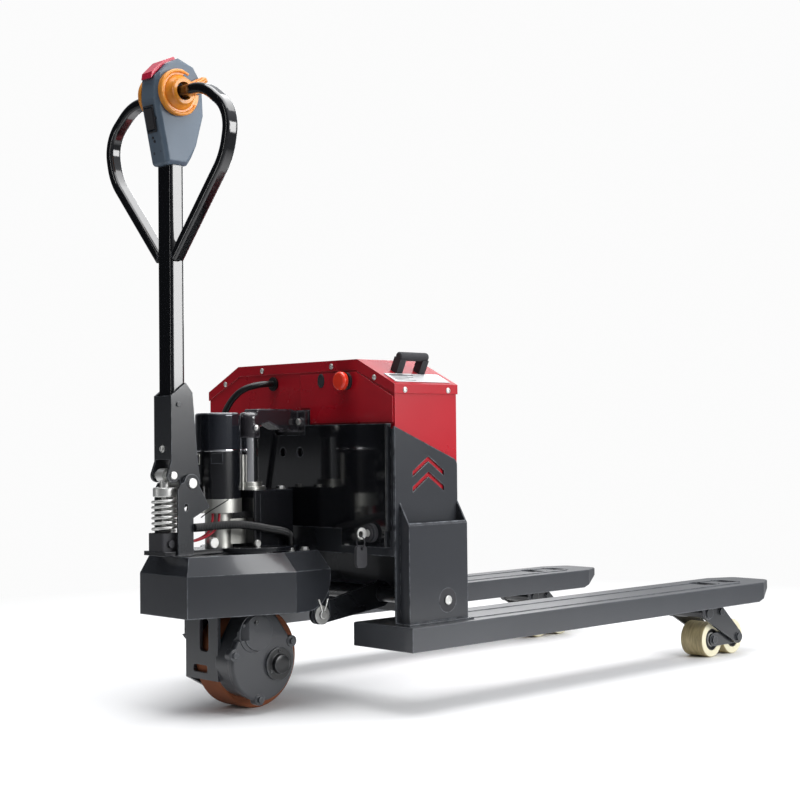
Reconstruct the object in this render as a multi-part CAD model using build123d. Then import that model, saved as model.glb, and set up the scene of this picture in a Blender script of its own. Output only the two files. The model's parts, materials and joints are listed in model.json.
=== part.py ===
from build123d import *
from math import asin, cos, degrees, hypot, radians, sin, tan
import os

# Electric pallet truck, modelled with its forks part raised.
# Millimetres, +X to the fork tips, +Z up, left (+Y) and right (-Y) as the operator sees them.
# While it is built, x = 0 is the front face of the chassis; place_all() moves the finished
# parts so that the origin is the middle of the footprint.

# Fits
RUN = 0.05            # radial clearance of a shaft that turns or slides in a bore
GAP = 0.5             # gap between pieces that only pass each other

# Forks
OVERALL_WIDTH = 685
FORK_LENGTH = 1220
FORK_WIDTH = 160
FORK_TOP = 165        # height of the fork's top face as modelled
FORK_DEPTH = 45
FORK_SHEET = 4
HEEL_X = -10
TIP_TAPER = 31        # how far each side runs in at the tip
TIP_TAPER_LENGTH = 66
TIP_RISE = 30
TIP_RISE_LENGTH = 88
RIB_WIDTH = 26
RIB_HEIGHT = 1.5
FORK_TIP_X = HEEL_X + FORK_LENGTH
FORK_Y = (OVERALL_WIDTH - FORK_WIDTH) / 2
SIDES = (1, -1)

# Lift travel
LIFT_UP = 30
LIFT_DOWN = 80
LIFT_SPAN = LIFT_UP + LIFT_DOWN

# Load rollers and the arms that carry them
ROLLER_D = 80
ROLLER_WIDTH = 60
ROLLER_BORE = 20
ROLLER_HUB_D = 50
ROLLER_SPACING = 84
ROLLER_Z = ROLLER_D / 2
REAR_ROLLER_X = 1087
FRONT_ROLLER_X = REAR_ROLLER_X - ROLLER_SPACING
ARM_PIVOT_X = 960
ARM_PIVOT_Z = FORK_TOP - 59
ARM_SHEET = 5
BOGIE_SHEET = 4
BOGIE_Y = ROLLER_WIDTH / 2 + 1.5
AXLE_HEAD = 4
ARM_Y = BOGIE_Y + BOGIE_SHEET + AXLE_HEAD + 0.8
LUG_Y = ARM_Y + ARM_SHEET + 0.8
LUG_SHEET = 6
ARM_PIN_D = 16
ARM_LENGTH = hypot(REAR_ROLLER_X - ARM_PIVOT_X, ARM_PIVOT_Z - ROLLER_Z)


def arm_angle(raised):
    """Angle of the roller arm below level when the forks are raised by this much."""
    return degrees(asin((ARM_PIVOT_Z + raised - ROLLER_Z) / ARM_LENGTH))


ARM_SWING = arm_angle(LIFT_UP) - arm_angle(-LIFT_DOWN)
ARM_LEAN = ARM_SWING / 2 - (arm_angle(LIFT_UP) - arm_angle(0))

# Lift linkage
SHAFT_X = 111
SHAFT_Z = 205
SHAFT_D = 30
LINK_PIN_X = -51
LINK_PIN_Z = 178
LINK_PIN_D = 16
LINK_SHEET = 8
LINK_Y = 127
LINK_LENGTH = hypot(SHAFT_X - LINK_PIN_X, SHAFT_Z - LINK_PIN_Z)


def link_angle(raised):
    """Angle of the link arm below level when the forks are raised by this much."""
    return degrees(asin((SHAFT_Z + raised - LINK_PIN_Z) / LINK_LENGTH))


LINK_SWING = link_angle(LIFT_UP) - link_angle(-LIFT_DOWN)
LINK_LEAN = LINK_SWING / 2 - (link_angle(LIFT_UP) - link_angle(0))
CRANK_LENGTH = 54.4
CRANK_SHEET = 8
ROD_TRAVEL = 2 * CRANK_LENGTH * sin(radians(LINK_SWING / 2))
EAR_LENGTH = ROD_TRAVEL / (2 * sin(radians(ARM_SWING / 2)))
ROD_D = 13
ROD_PIN_D = 10
ROD_EYE_SHEET = 10
ROD_EYE_WALL = 4
CRANK_RISE = CRANK_LENGTH * (1 - cos(radians(LINK_SWING / 2)))
EAR_RISE = EAR_LENGTH * (1 - cos(radians(ARM_SWING / 2)))
CRANK_X = SHAFT_X + CRANK_LENGTH * sin(radians(LINK_LEAN))
CRANK_Z = SHAFT_Z - CRANK_LENGTH * cos(radians(LINK_LEAN))
EAR_X = ARM_PIVOT_X + EAR_LENGTH * sin(radians(ARM_LEAN))
EAR_Z = ARM_PIVOT_Z + EAR_LENGTH * cos(radians(ARM_LEAN))
ROD_Z = (CRANK_Z + EAR_Z) / 2

# Chassis
SIDE_OUT = 26.5
SIDE_Y = FORK_Y + SIDE_OUT   # outer face of the side plates
SIDE_SHEET = 3.5
SIDE_LENGTH = 166
SIDE_FRONT_TOP = 534
SIDE_REAR_TOP = 468
FOOT_SHEET = 4
BULKHEAD_SHEET = 5
BULKHEAD_BOTTOM = 292
BULKHEAD_TOP = 530
REAR_PANEL_TOP = 396
CHEVRON_X = 88
CHEVRON_TOPS = (472, 443)
CHEVRON_REACH = 42
CHEVRON_DROP = 28
CHEVRON_STROKE = 10

# Side bins
BIN_DEPTH = 25
BIN_X = 11
BIN_SHEET = 3
BIN_FRONT_TOP = 349
BIN_BACK_TOP = 391
BUSH_D = 45

# Front cover and key
COVER_DEPTH = 12
COVER_HALF = SIDE_Y - 10
COVER_BOTTOM = 340
COVER_TOP = 539
COVER_SHEET = 3
TAB_BOTTOM = 308
TAB_INNER = 150
TAB_OUTER = COVER_HALF - 4
PEEP_Z = 486
PEEP_Y = (22, -31)
PEEP_R = 9
NOTCH_HALF = 46
NOTCH_BOTTOM = 520
KEY_Y = 41 - COVER_HALF
KEY_Z = 335
LOCK_D = 35
LOCK_LENGTH = 12
KEY_PLUG_D = 14
KEY_BOW_D = 22
KEY_BOW_SHEET = 2.4
KEY_BOW_OUT = 14      # from the lock's face to the middle of the bow
KEY_HOLE_D = 12
KEY_HOLE_OUT = 17
KEY_HOLE_DROP = 1
KEY_RING_R = 11
KEY_RING_D = 2.4
FOB_SIZE = (26, 7, 42)
FOB_HOLE_D = 6

# Battery box
BOX_FRONT = BULKHEAD_SHEET + 0.3
BOX_BACK = 169
BOX_HALF = SIDE_Y - SIDE_SHEET - GAP
BOX_BOTTOM = 400
SHOULDER_Z = 611
ROOF_Z = 661
ROOF_HALF = 183.5
BOX_SHEET = 2.5
LID_SHEET = 2
LID_GAP = 0.3
LID_FLANGE = 18
PANEL_SEAM_Y = -17
PANEL_SHEET = 3
SHOULDER_SLOPE = degrees(asin((ROOF_Z - SHOULDER_Z) / hypot(ROOF_Z - SHOULDER_Z, BOX_HALF - ROOF_HALF)))
FRONT_SCREW_Y = (228, 105, -110, -232)
SIDE_SCREW_X = (30, 145)
SCREW_D = 11
STOP_Y = -154
STOP_Z = 622
STOP_D = 34
GROMMET_Y = 70
CABLE_HOLE_Z = 624
CABLE_D = 13
GLAND_D = 22
GRIP_X = 87
GRIP_LENGTH = 76
GRIP_D = 17
GRIP_RISE = 32

# Steering axis, ram and pump unit
STEER_X = -115
RAM_D = 36
RAM_TOP = 515
RAM_BOTTOM = 292
CYLINDER_D = 48
CYLINDER_BOTTOM = 205
TANK_TOP = 415
TANK_HALF = 50
TANK_FRONT = -142
TANK_BACK = -45
TURNTABLE_Z = 300
TURNTABLE_SHEET = 8
TURNTABLE_D = 190
PUMP_X = -189
MOTOR_D = 85
FLANGE_BOTTOM = 374
FLANGE_TOP = 400
MOTOR_TOP = 491
CAP_TOP = 563
BRACKET_TOP = 571

# Guard and carriage
GUARD_FRONT = -317
GUARD_FRONT_HALF = 75
GUARD_HALF = 140
GUARD_KNEE_X = -115
GUARD_REAR = -30
GUARD_BOTTOM = 187
GUARD_RIM = 264
GUARD_CROWN = 298
GUARD_SHEET = 3
GUARD_CORNER = 60
PLATE_Z = 285
PLATE_SHEET = 10
RING_D = 150
YOKE_D = 128
EAR_SHEET = 5
EAR_Y = LINK_Y + LINK_SHEET / 2 + 0.5 + EAR_SHEET / 2

# Tiller
TUBE_WIDTH = 45
CHEEK_Y = TUBE_WIDTH / 2 + 0.3
CHEEK_SHEET = 4.7
POST_Y = CHEEK_Y + CHEEK_SHEET + 5.5
POST_SHEET = 5
POST_FRONT = -309
POST_BACK = -275
PIVOT_X = -278
PIVOT_Z = 432
PIVOT_D = 19
STRUT_X = -312
STRUT_Z = 447
STRUT_PIN_D = 15
CHEEK_WEB = 4
TUBE_X = -295
TUBE_DEPTH = 30
TUBE_WALL = 3
TUBE_BOTTOM = 520
HEAD_BOTTOM = 1022
HEAD_HALF = 27
BUTTON_X = -329
BUTTON_Z = 1201
BUTTON_TILT = 46      # how far the button's face leans forward from level
BUTTON_TRAVEL = 4
BUTTON_HALF = 16
BUTTON_STEM_D = 10
ROCKER_X = -337.6
ROCKER_Z = 1105
ROCKER_TILT = 12
ROCKER_HALF = 11
LOOP_X = -298
LOOP_Z = 1155
LOOP_WIDTH = 20
LOOP_DEPTH = 25
LOOP_CORNER = 6
LOOP_REACH = 190
LOOP_BENDS = (100, 62, 108)
LOOP_JOIN_Z = 850
THROTTLE_D = 86
THROTTLE_SHEET = 7

# Tiller spring
SPRING_D = 50
SPRING_WIRE = 6
SPRING_BOTTOM = 341
SPRING_TOP = 407
SPRING_COILS = 6
STRUT_CAP_TOP = 425
STRUT_ROD_D = 12
FOOT_DEPTH = 46
FOOT_WIDTH = 46

# Drive wheel and gearbox
WHEEL_X = -125
WHEEL_D = 190
WHEEL_WIDTH = 70
WHEEL_Z = WHEEL_D / 2
TYRE_THICKNESS = 20
AXLE_D = 30
GEAR_FACE = -96
GEAR_INNER = -40
CASE_X = -158
CASE_Z = 98
CASE_R = 74
CASE_TOP = 202
GEAR_TOP_X = -180
GEAR_TOP_Z = 152
GEAR_TOP_R = 44
LEG_Y = 42
LEG_SHEET = 12
WEB_X = -228
SWEEP_HIGH = 126      # room for what turns above the link pins
SWEEP_STEP_Z = 140
SWEEP_LOW = 156
TRACTION_X = -186
TRACTION_Z = 160
TRACTION_D = 80

# Cable from the battery box to the carriage: hand-set route, start to end
CABLE_ROUTE = (
    (-2, GROMMET_Y, CABLE_HOLE_Z),
    (-30, GROMMET_Y, CABLE_HOLE_Z),
    (-64, 98, 610),
    (-84, 122, 566),
    (-84, 135, 510),
    (-76, 140, 450),
    (-65, 138, 397),
    (-56, 127, 354),
    (-54, 120, 338),
    (-54, 120, 310),
)
HARNESS_ROUTE = (
    (-275, -40, 350),
    (-252, -40, 350),
    (-220, -54, 353),
    (-186, -65, 353),
    (-152, -71, 348),
    (-120, -72, 341),
    (-92, -69, 337),
    (-70, -64, 330),
    (-64, -62, 319),
    (-64, -62, 308),
)
LEAD_ROUTES = (
    ((-289, -13, 322), (-272, -13, 322), (-248, -24, 326), (-224, -33, 340), (-210, -30, 357), (-210, -30, 374)),
    ((-289, -4, 322), (-270, -4, 322), (-248, -13, 325), (-228, -22, 338), (-218, -20, 356), (-218, -20, 374)),
)


def block(x0, x1, y0, y1, z0, z1):
    """Box between two corners."""
    size = (x1 - x0, y1 - y0, z1 - z0)
    return Pos((x0 + x1) / 2, (y0 + y1) / 2, (z0 + z1) / 2) * Box(*size)


def bar_z(x, y, d, z0, z1):
    return Pos(x, y, (z0 + z1) / 2) * Cylinder(d / 2, z1 - z0)


def bar_y(x, z, d, y0, y1):
    return Pos(x, (y0 + y1) / 2, z) * Rot(90, 0, 0) * Cylinder(d / 2, y1 - y0)


def bar_x(y, z, d, x0, x1):
    return Pos((x0 + x1) / 2, y, z) * Rot(0, 90, 0) * Cylinder(d / 2, x1 - x0)


def side_sheet(sketch, y0, y1):
    """Solid of an X-Z outline between two Y planes."""
    return extrude(Plane.XZ.offset(-y1) * sketch, amount=y1 - y0, dir=(0, -1, 0))


def top_sheet(sketch, z0, z1):
    """Solid of an X-Y outline between two heights."""
    return extrude(Plane.XY.offset(z0) * sketch, amount=z1 - z0, dir=(0, 0, 1))


def front_sheet(sketch, x0, x1):
    """Solid of a Y-Z outline between two X planes."""
    return extrude(Plane.YZ.offset(x0) * sketch, amount=x1 - x0, dir=(1, 0, 0))


def outline(*points):
    return Polygon(*points, align=None)


def link(*circles):
    """Outline that wraps circles, each given as (x, z, radius)."""
    discs = Sketch() + [Pos(x, z) * Circle(r) for x, z, r in circles]
    return make_hull(discs.edges())


def mirrored(shape):
    """The shape and its copy on the other side of the truck."""
    return [shape, mirror(shape, about=Plane.XZ)]


def tube_along(route, diameter, share=0.45):
    """Round tube along straight runs joined by the largest tangent arcs that fit."""
    points = [Vector(*p) for p in route]
    radii = []
    for before, here, after in zip(points, points[1:], points[2:]):
        turn = (here - before).get_angle(after - here)
        run = min((here - before).length, (after - here).length)
        radii.append(share * run / tan(radians(turn / 2)))
    path = FilletPolyline(*points, radius=radii)
    print("route radii", [round(r) for r in radii], "length", round(path.length))
    start = Plane(origin=path @ 0, z_dir=path % 0)
    return sweep(start * Circle(diameter / 2), path=path)


# ------------------------------------------------------------------ forks

def fork(side):
    """One fork: a channel open below, with a closed tapering tip."""
    yc = side * FORK_Y
    half = FORK_WIDTH / 2
    taper_x = FORK_TIP_X - TIP_TAPER_LENGTH
    plan = outline(
        (HEEL_X, -half), (taper_x, -half), (FORK_TIP_X, TIP_TAPER - half),
        (FORK_TIP_X, half - TIP_TAPER), (taper_x, half), (HEEL_X, half),
    )
    plan = fillet(plan.vertices().sort_by(Axis.X)[-2:], 22)
    under = FORK_TOP - FORK_DEPTH
    body = top_sheet(plan, under, FORK_TOP)
    body = fillet(body.faces().sort_by(Axis.Z)[-1].edges(), 3)
    inner = offset(plan, -FORK_SHEET)
    body -= top_sheet(inner, under - 1, FORK_TOP - FORK_SHEET)
    rise_x = FORK_TIP_X - TIP_RISE_LENGTH
    wedge = outline((rise_x, under - 1), (FORK_TIP_X + 1, under - 1), (FORK_TIP_X + 1, under + TIP_RISE))
    body -= side_sheet(wedge, -half, half)
    for rib_y in (-38, 38):
        rib = SlotOverall(FORK_LENGTH - 300, RIB_WIDTH)
        body += Pos(HEEL_X + FORK_LENGTH / 2 + 40, rib_y, 0) * top_sheet(rib, FORK_TOP - 1, FORK_TOP + RIB_HEIGHT)
    low_x = ARM_PIVOT_X + ARM_LENGTH * cos(radians(arm_angle(-LIFT_DOWN)))
    for roller_x in (low_x, low_x - ROLLER_SPACING):
        slot = RectangleRounded(40, ROLLER_WIDTH + 8, 8)
        body -= Pos(roller_x, 0, 0) * top_sheet(slot, FORK_TOP - 10, FORK_TOP + 5)
    crank_slot = SlotOverall(78, ROD_EYE_SHEET + CRANK_SHEET + 7)
    body -= Pos(SHAFT_X, 0, 0) * top_sheet(crank_slot, FORK_TOP - 10, FORK_TOP + 5)
    lug_top = FORK_TOP - FORK_SHEET
    lug = outline(
        (ARM_PIVOT_X - 30, lug_top), (ARM_PIVOT_X - 15, ARM_PIVOT_Z), (ARM_PIVOT_X + 15, ARM_PIVOT_Z),
        (ARM_PIVOT_X + 30, lug_top),
    )
    lug += Pos(ARM_PIVOT_X, ARM_PIVOT_Z) * Circle(15)
    for lug_side in SIDES:
        low, high = sorted((lug_side * LUG_Y, lug_side * (LUG_Y + LUG_SHEET)))
        body += side_sheet(lug, low, high)
    body -= bar_y(ARM_PIVOT_X, ARM_PIVOT_Z, ARM_PIN_D + 2 * RUN, -half / 1.2, half / 1.2)
    return Pos(0, yc, 0) * body


def roller_arm(side):
    """Bell crank: two plates, a boss tube, the pivot pin, the rod pin and the rear axle."""
    yc = side * FORK_Y
    outer = ARM_Y + ARM_SHEET
    plate = link((ARM_PIVOT_X, ARM_PIVOT_Z, 15), (REAR_ROLLER_X, ROLLER_Z, 15), (1018, 104, 13))
    plate += link((ARM_PIVOT_X, ARM_PIVOT_Z, 12), (EAR_X, EAR_Z, 8.5))
    arm = Part()
    for plate_side in SIDES:
        low, high = sorted((plate_side * ARM_Y, plate_side * outer))
        arm += side_sheet(plate, low, high)
    pin_half = LUG_Y + LUG_SHEET + 0.5
    arm += bar_y(ARM_PIVOT_X, ARM_PIVOT_Z, ARM_PIN_D, -pin_half, pin_half)
    arm += bar_y(ARM_PIVOT_X, ARM_PIVOT_Z, 26, -ARM_Y, ARM_Y)
    arm += bar_y(EAR_X, EAR_Z, ROD_PIN_D, -ARM_Y, ARM_Y)
    arm += bar_y(REAR_ROLLER_X, ROLLER_Z, ROLLER_BORE - 2 * RUN, -outer, outer)
    for end in SIDES:
        low, high = sorted((end * pin_half, end * (pin_half + 4)))
        arm += bar_y(ARM_PIVOT_X, ARM_PIVOT_Z, 24, low, high)
        low, high = sorted((end * outer, end * (outer + 5)))
        arm += bar_y(REAR_ROLLER_X, ROLLER_Z, 19, low, high)
        arm += bar_y(1018, 104, 17, low, high)
    return Pos(0, yc, 0) * arm


def bogie(side):
    """Link that hangs on the rear axle and carries the front roller."""
    plate = link((REAR_ROLLER_X, ROLLER_Z, 15), (FRONT_ROLLER_X, ROLLER_Z, 15))
    plate -= Pos(REAR_ROLLER_X, ROLLER_Z) * Circle(ROLLER_BORE / 2)
    outer = BOGIE_Y + BOGIE_SHEET
    frame = Part()
    for plate_side in SIDES:
        low, high = sorted((plate_side * BOGIE_Y, plate_side * outer))
        frame += side_sheet(plate, low, high)
        low, high = sorted((plate_side * outer, plate_side * (outer + AXLE_HEAD)))
        frame += bar_y(FRONT_ROLLER_X, ROLLER_Z, 18, low, high)
    frame += bar_y(FRONT_ROLLER_X, ROLLER_Z, ROLLER_BORE - 2 * RUN, -outer, outer)
    return Pos(0, side * FORK_Y, 0) * frame


def roller(x, side):
    """Load roller: soft tread on a steel hub with a recessed face."""
    half = ROLLER_WIDTH / 2
    tread = bar_y(x, ROLLER_Z, ROLLER_D, -half, half)
    tread = fillet(tread.edges(), 2.5)
    tread -= bar_y(x, ROLLER_Z, ROLLER_HUB_D, -half - 1, half + 1)
    hub = bar_y(x, ROLLER_Z, ROLLER_HUB_D, -half + 1.5, half - 1.5)
    for face in SIDES:
        low, high = sorted((face * (half - 5), face * half))
        ring = bar_y(x, ROLLER_Z, ROLLER_HUB_D - 6, low, high)
        hub -= ring - bar_y(x, ROLLER_Z, ROLLER_BORE + 12, low, high)
    hub -= bar_y(x, ROLLER_Z, ROLLER_BORE, -half, half)
    return [Pos(0, side * FORK_Y, 0) * tread, Pos(0, side * FORK_Y, 0) * hub]


def push_rod(side):
    """Rod inside the fork, with a slotted eye plate at each end for the pin's rise and fall."""
    yc = side * FORK_Y
    rod = bar_x(0, ROD_Z, ROD_D, CRANK_X + 20, EAR_X - 20)
    half = ROD_EYE_SHEET / 2
    crank_slot_z = SHAFT_Z - CRANK_LENGTH + CRANK_RISE / 2
    ear_slot_z = ARM_PIVOT_Z + EAR_LENGTH - EAR_RISE / 2
    ceiling = FORK_TOP - FORK_SHEET - GAP
    for x, way, slot_z, rise in ((CRANK_X, 1, crank_slot_z, CRANK_RISE), (EAR_X, -1, ear_slot_z, EAR_RISE)):
        low, high = sorted((x - way * 12, x + way * 24))
        slot_height = ROD_PIN_D + rise + 1.2
        bottom = slot_z - slot_height / 2 - ROD_EYE_WALL
        top = min(slot_z + slot_height / 2 + ROD_EYE_WALL, ceiling)
        eye = Pos((low + high) / 2, (bottom + top) / 2) * Rectangle(high - low, top - bottom)
        eye -= Pos(x, slot_z) * RectangleRounded(ROD_PIN_D + 1.6, slot_height, 5)
        rod += side_sheet(eye, -half, half)
    return Pos(0, yc, 0) * rod


def lift_rocker():
    """Torsion shaft with two link arms, four crank plates and the pins they carry."""
    reach = SIDE_Y + BIN_DEPTH + 2
    shaft = bar_y(SHAFT_X, SHAFT_Z, SHAFT_D, -reach + 12, reach - 12)
    shaft += bar_y(SHAFT_X, SHAFT_Z, 18, -reach, reach)
    half = LINK_SHEET / 2
    plate = link((SHAFT_X, SHAFT_Z, 26), (LINK_PIN_X, LINK_PIN_Z, 19))
    for side in SIDES:
        y = side * LINK_Y
        shaft += side_sheet(plate, y - half, y + half)
        out = side * (LINK_Y + half)
        low, high = sorted((out - side, side * (EAR_Y + EAR_SHEET / 2 + 7)))
        shaft += bar_y(LINK_PIN_X, LINK_PIN_Z, LINK_PIN_D, low, high)
        for offset_y in (-1, 1):
            inner = side * FORK_Y + offset_y * (ROD_EYE_SHEET / 2 + 0.8)
            low, high = sorted((inner, inner + offset_y * CRANK_SHEET / 2))
            crank = link((SHAFT_X, SHAFT_Z, 22), (CRANK_X, CRANK_Z, 8.5))
            shaft += side_sheet(crank, low, high)
        shaft += Pos(0, side * FORK_Y, 0) * bar_y(CRANK_X, CRANK_Z, ROD_PIN_D, -8, 8)
    return shaft


def link_washers():
    """Washer and split pin on each link pin."""
    pieces = []
    face = EAR_Y + EAR_SHEET / 2 + 0.4
    for side in SIDES:
        low, high = sorted((side * face, side * (face + 2.5)))
        washer = bar_y(LINK_PIN_X, LINK_PIN_Z, 34, low, high)
        washer -= bar_y(LINK_PIN_X, LINK_PIN_Z, LINK_PIN_D, low - 1, high + 1)
        pieces.append(washer)
    return pieces


# ---------------------------------------------------------------- chassis

def chevron(apex_z):
    tip, reach, drop = CHEVRON_X, CHEVRON_REACH, CHEVRON_DROP
    half = CHEVRON_STROKE / 2
    return outline(
        (tip - reach, apex_z - drop - half), (tip, apex_z - half), (tip + reach, apex_z - drop - half),
        (tip + reach, apex_z - drop + half), (tip, apex_z + half), (tip - reach, apex_z - drop + half),
    )


def side_plate():
    """Side plate on the left; its foot is the flange that is welded to the fork."""
    plate = outline((0, FORK_TOP), (SIDE_LENGTH, FORK_TOP), (SIDE_LENGTH, SIDE_REAR_TOP), (0, SIDE_FRONT_TOP))
    plate = fillet(plate.vertices().sort_by(Axis.Y)[2:3], 14)
    for apex_z in CHEVRON_TOPS:
        plate -= chevron(apex_z)
    plate -= Pos(SHAFT_X, SHAFT_Z) * Circle(BUSH_D / 2)
    body = side_sheet(plate, SIDE_Y - SIDE_SHEET, SIDE_Y)
    foot_end = SIDE_Y + BIN_DEPTH + 12
    body += block(0, SIDE_LENGTH + 4, SIDE_Y - 1, foot_end, FORK_TOP, FORK_TOP + FOOT_SHEET)
    return body


def side_bin():
    """Open-topped bin on the left side plate; the plate is its back."""
    outer = SIDE_Y + BIN_DEPTH
    bottom = FORK_TOP + FOOT_SHEET
    shell = front_sheet(
        outline((SIDE_Y, bottom), (outer, bottom), (outer, BIN_FRONT_TOP), (SIDE_Y, BIN_BACK_TOP)),
        BIN_X, SIDE_LENGTH)
    shell -= block(BIN_X + BIN_SHEET, SIDE_LENGTH - BIN_SHEET, SIDE_Y - 1, outer - BIN_SHEET,
                   bottom + BIN_SHEET, BIN_BACK_TOP + 1)
    shell -= bar_y(SHAFT_X, SHAFT_Z, BUSH_D, SIDE_Y, outer + 1)
    return shell


def shaft_bushes():
    low = SIDE_Y - SIDE_SHEET - 8
    high = SIDE_Y + BIN_DEPTH
    bush = bar_y(SHAFT_X, SHAFT_Z, BUSH_D, low, high)
    bush -= bar_y(SHAFT_X, SHAFT_Z, SHAFT_D + 2 * RUN, low - 1, high - 9)
    bush -= bar_y(SHAFT_X, SHAFT_Z, 18 + 2 * RUN, low - 1, high + 1)
    return mirrored(bush)


def bulkhead():
    """Front wall between the side plates, with the tab that the ram bracket bolts to."""
    inner = SIDE_Y - SIDE_SHEET
    wall = block(0, BULKHEAD_SHEET, -inner, inner, BULKHEAD_BOTTOM, BULKHEAD_TOP)
    wall += block(0, BULKHEAD_SHEET, -44, 44, BULKHEAD_TOP, BRACKET_TOP - 2)
    for y in PEEP_Y:
        wall -= bar_x(y, PEEP_Z, 2 * PEEP_R, -1, BULKHEAD_SHEET + 1)
    return wall


def rear_panel():
    """Back wall under the battery box, standing on the forks, with a shelf for the box."""
    inner = SIDE_Y - SIDE_SHEET
    wall = block(SIDE_LENGTH - 4, SIDE_LENGTH, -inner, inner, FORK_TOP, REAR_PANEL_TOP)
    wall += block(BULKHEAD_SHEET, SIDE_LENGTH, -inner, inner, REAR_PANEL_TOP, BOX_BOTTOM)
    return wall


def controller():
    """Motor controller with a finned face, bolted to the back of the front wall."""
    body = block(BULKHEAD_SHEET, 52, -95, 95, 302, 392)
    for i in range(9):
        y = -80 + 20 * i
        body += block(52, 60, y - 4, y + 4, 306, 388)
    return body


def front_cover():
    """Shallow gloss cover over the front wall, with the tab that holds the key switch."""
    cover = block(-COVER_DEPTH, 0, -COVER_HALF, COVER_HALF, COVER_BOTTOM, COVER_TOP)
    cover += block(-COVER_DEPTH, 0, -TAB_OUTER, -TAB_INNER, TAB_BOTTOM, COVER_BOTTOM)
    cover = fillet(cover.edges().filter_by(Axis.Z).group_by(Axis.X)[0], 3)
    inset = COVER_SHEET
    cover -= block(inset - COVER_DEPTH, 1, inset - COVER_HALF, COVER_HALF - inset,
                   COVER_BOTTOM + inset, COVER_TOP - inset)
    cover -= block(inset - COVER_DEPTH, 1, inset - TAB_OUTER, -TAB_INNER - inset,
                   TAB_BOTTOM + inset, COVER_BOTTOM + 2 * inset)
    for y in PEEP_Y:
        cover -= bar_x(y, PEEP_Z, 2 * PEEP_R, -COVER_DEPTH - 1, 1)
    cover -= block(-COVER_DEPTH - 1, 1, -NOTCH_HALF, NOTCH_HALF, NOTCH_BOTTOM, COVER_TOP + 1)
    cover -= bar_x(KEY_Y, KEY_Z, 20, -COVER_DEPTH - 1, 1)
    return cover


def key_lock():
    face = -COVER_DEPTH
    lock = bar_x(KEY_Y, KEY_Z, LOCK_D, face - LOCK_LENGTH + 3, face)
    lock += bar_x(KEY_Y, KEY_Z, LOCK_D - 8, face - LOCK_LENGTH, face)
    lock += bar_x(KEY_Y, KEY_Z, 19, face, -1)
    lock -= bar_x(KEY_Y, KEY_Z, KEY_PLUG_D + 2 * RUN, face - LOCK_LENGTH - 1, face)
    return lock


def key():
    """Key with a flat bow, and the lock's plug that turns with it."""
    face = -COVER_DEPTH - LOCK_LENGTH
    blade = block(face - 6, face + 3, KEY_Y - 1.2, KEY_Y + 1.2, KEY_Z - 4.5, KEY_Z + 4.5)
    blade += bar_x(KEY_Y, KEY_Z, KEY_PLUG_D, face + 0.5, face + LOCK_LENGTH - 0.5)
    half = KEY_BOW_SHEET / 2
    bow = bar_y(face - KEY_BOW_OUT, KEY_Z, KEY_BOW_D, KEY_Y - half, KEY_Y + half)
    bow -= bar_y(face - KEY_HOLE_OUT, KEY_Z - KEY_HOLE_DROP, KEY_HOLE_D, KEY_Y - 3, KEY_Y + 3)
    return blade + bow


def key_fob():
    """Ring that hangs in the key's bow and the fob that hangs on the ring."""
    x = -COVER_DEPTH - LOCK_LENGTH - KEY_HOLE_OUT
    hole_bottom = KEY_Z - KEY_HOLE_DROP - KEY_HOLE_D / 2
    ring_z = hole_bottom + KEY_RING_D / 2 + 0.7 - KEY_RING_R
    ring = Pos(x, KEY_Y, ring_z) * Rot(0, 90, 0) * Torus(KEY_RING_R, KEY_RING_D / 2)
    hole_z = ring_z - KEY_RING_R - 0.93
    fob_top = hole_z + FOB_HOLE_D / 2 + 3.5
    fob = Pos(x, KEY_Y, fob_top - FOB_SIZE[2] / 2) * Box(*FOB_SIZE)
    fob = fillet(fob.edges().filter_by(Axis.Y), 9)
    fob -= bar_y(x, hole_z, FOB_HOLE_D, KEY_Y - FOB_SIZE[1], KEY_Y + FOB_SIZE[1])
    return [ring, fob]


# ------------------------------------------------------------ battery box

def roof_outline(grow, top_grow, bottom):
    """Y-Z outline of the box with its sloping shoulders, grown outwards."""
    half = BOX_HALF + grow
    roof = ROOF_HALF + top_grow * tan(radians(SHOULDER_SLOPE / 2))
    top = ROOF_Z + top_grow
    shoulder = SHOULDER_Z + top_grow
    return outline((-half, bottom), (half, bottom), (half, shoulder), (roof, top), (-roof, top), (-half, shoulder))


def battery_box():
    """Box open at the top, whose front and back follow the shoulders."""
    box = front_sheet(roof_outline(0, 0, BOX_BOTTOM), BOX_FRONT, BOX_BACK)
    inner = BOX_HALF - BOX_SHEET
    box -= block(BOX_FRONT + BOX_SHEET, BOX_BACK - BOX_SHEET, -inner, inner, BOX_BOTTOM + BOX_SHEET, ROOF_Z + 1)
    box -= bar_x(GROMMET_Y, CABLE_HOLE_Z, 22, BOX_FRONT - 1, BOX_FRONT + BOX_SHEET + 1)
    box -= bar_x(STOP_Y, STOP_Z, 22, BOX_FRONT - 1, BOX_FRONT + BOX_SHEET + 1)
    return box


def battery_lid():
    """Roof sheet with a flange all round that laps over the box."""
    over = LID_GAP
    sheet = over + LID_SHEET
    lid = front_sheet(roof_outline(sheet, sheet, SHOULDER_Z - 60), BOX_FRONT - sheet, BOX_BACK + sheet)
    lid -= front_sheet(roof_outline(over, over, SHOULDER_Z - 70), BOX_FRONT - over, BOX_BACK + over)
    lid -= front_sheet(roof_outline(sheet + 5, -LID_FLANGE, SHOULDER_Z - 80), BOX_FRONT - 9, BOX_BACK + 9)
    return lid


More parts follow.
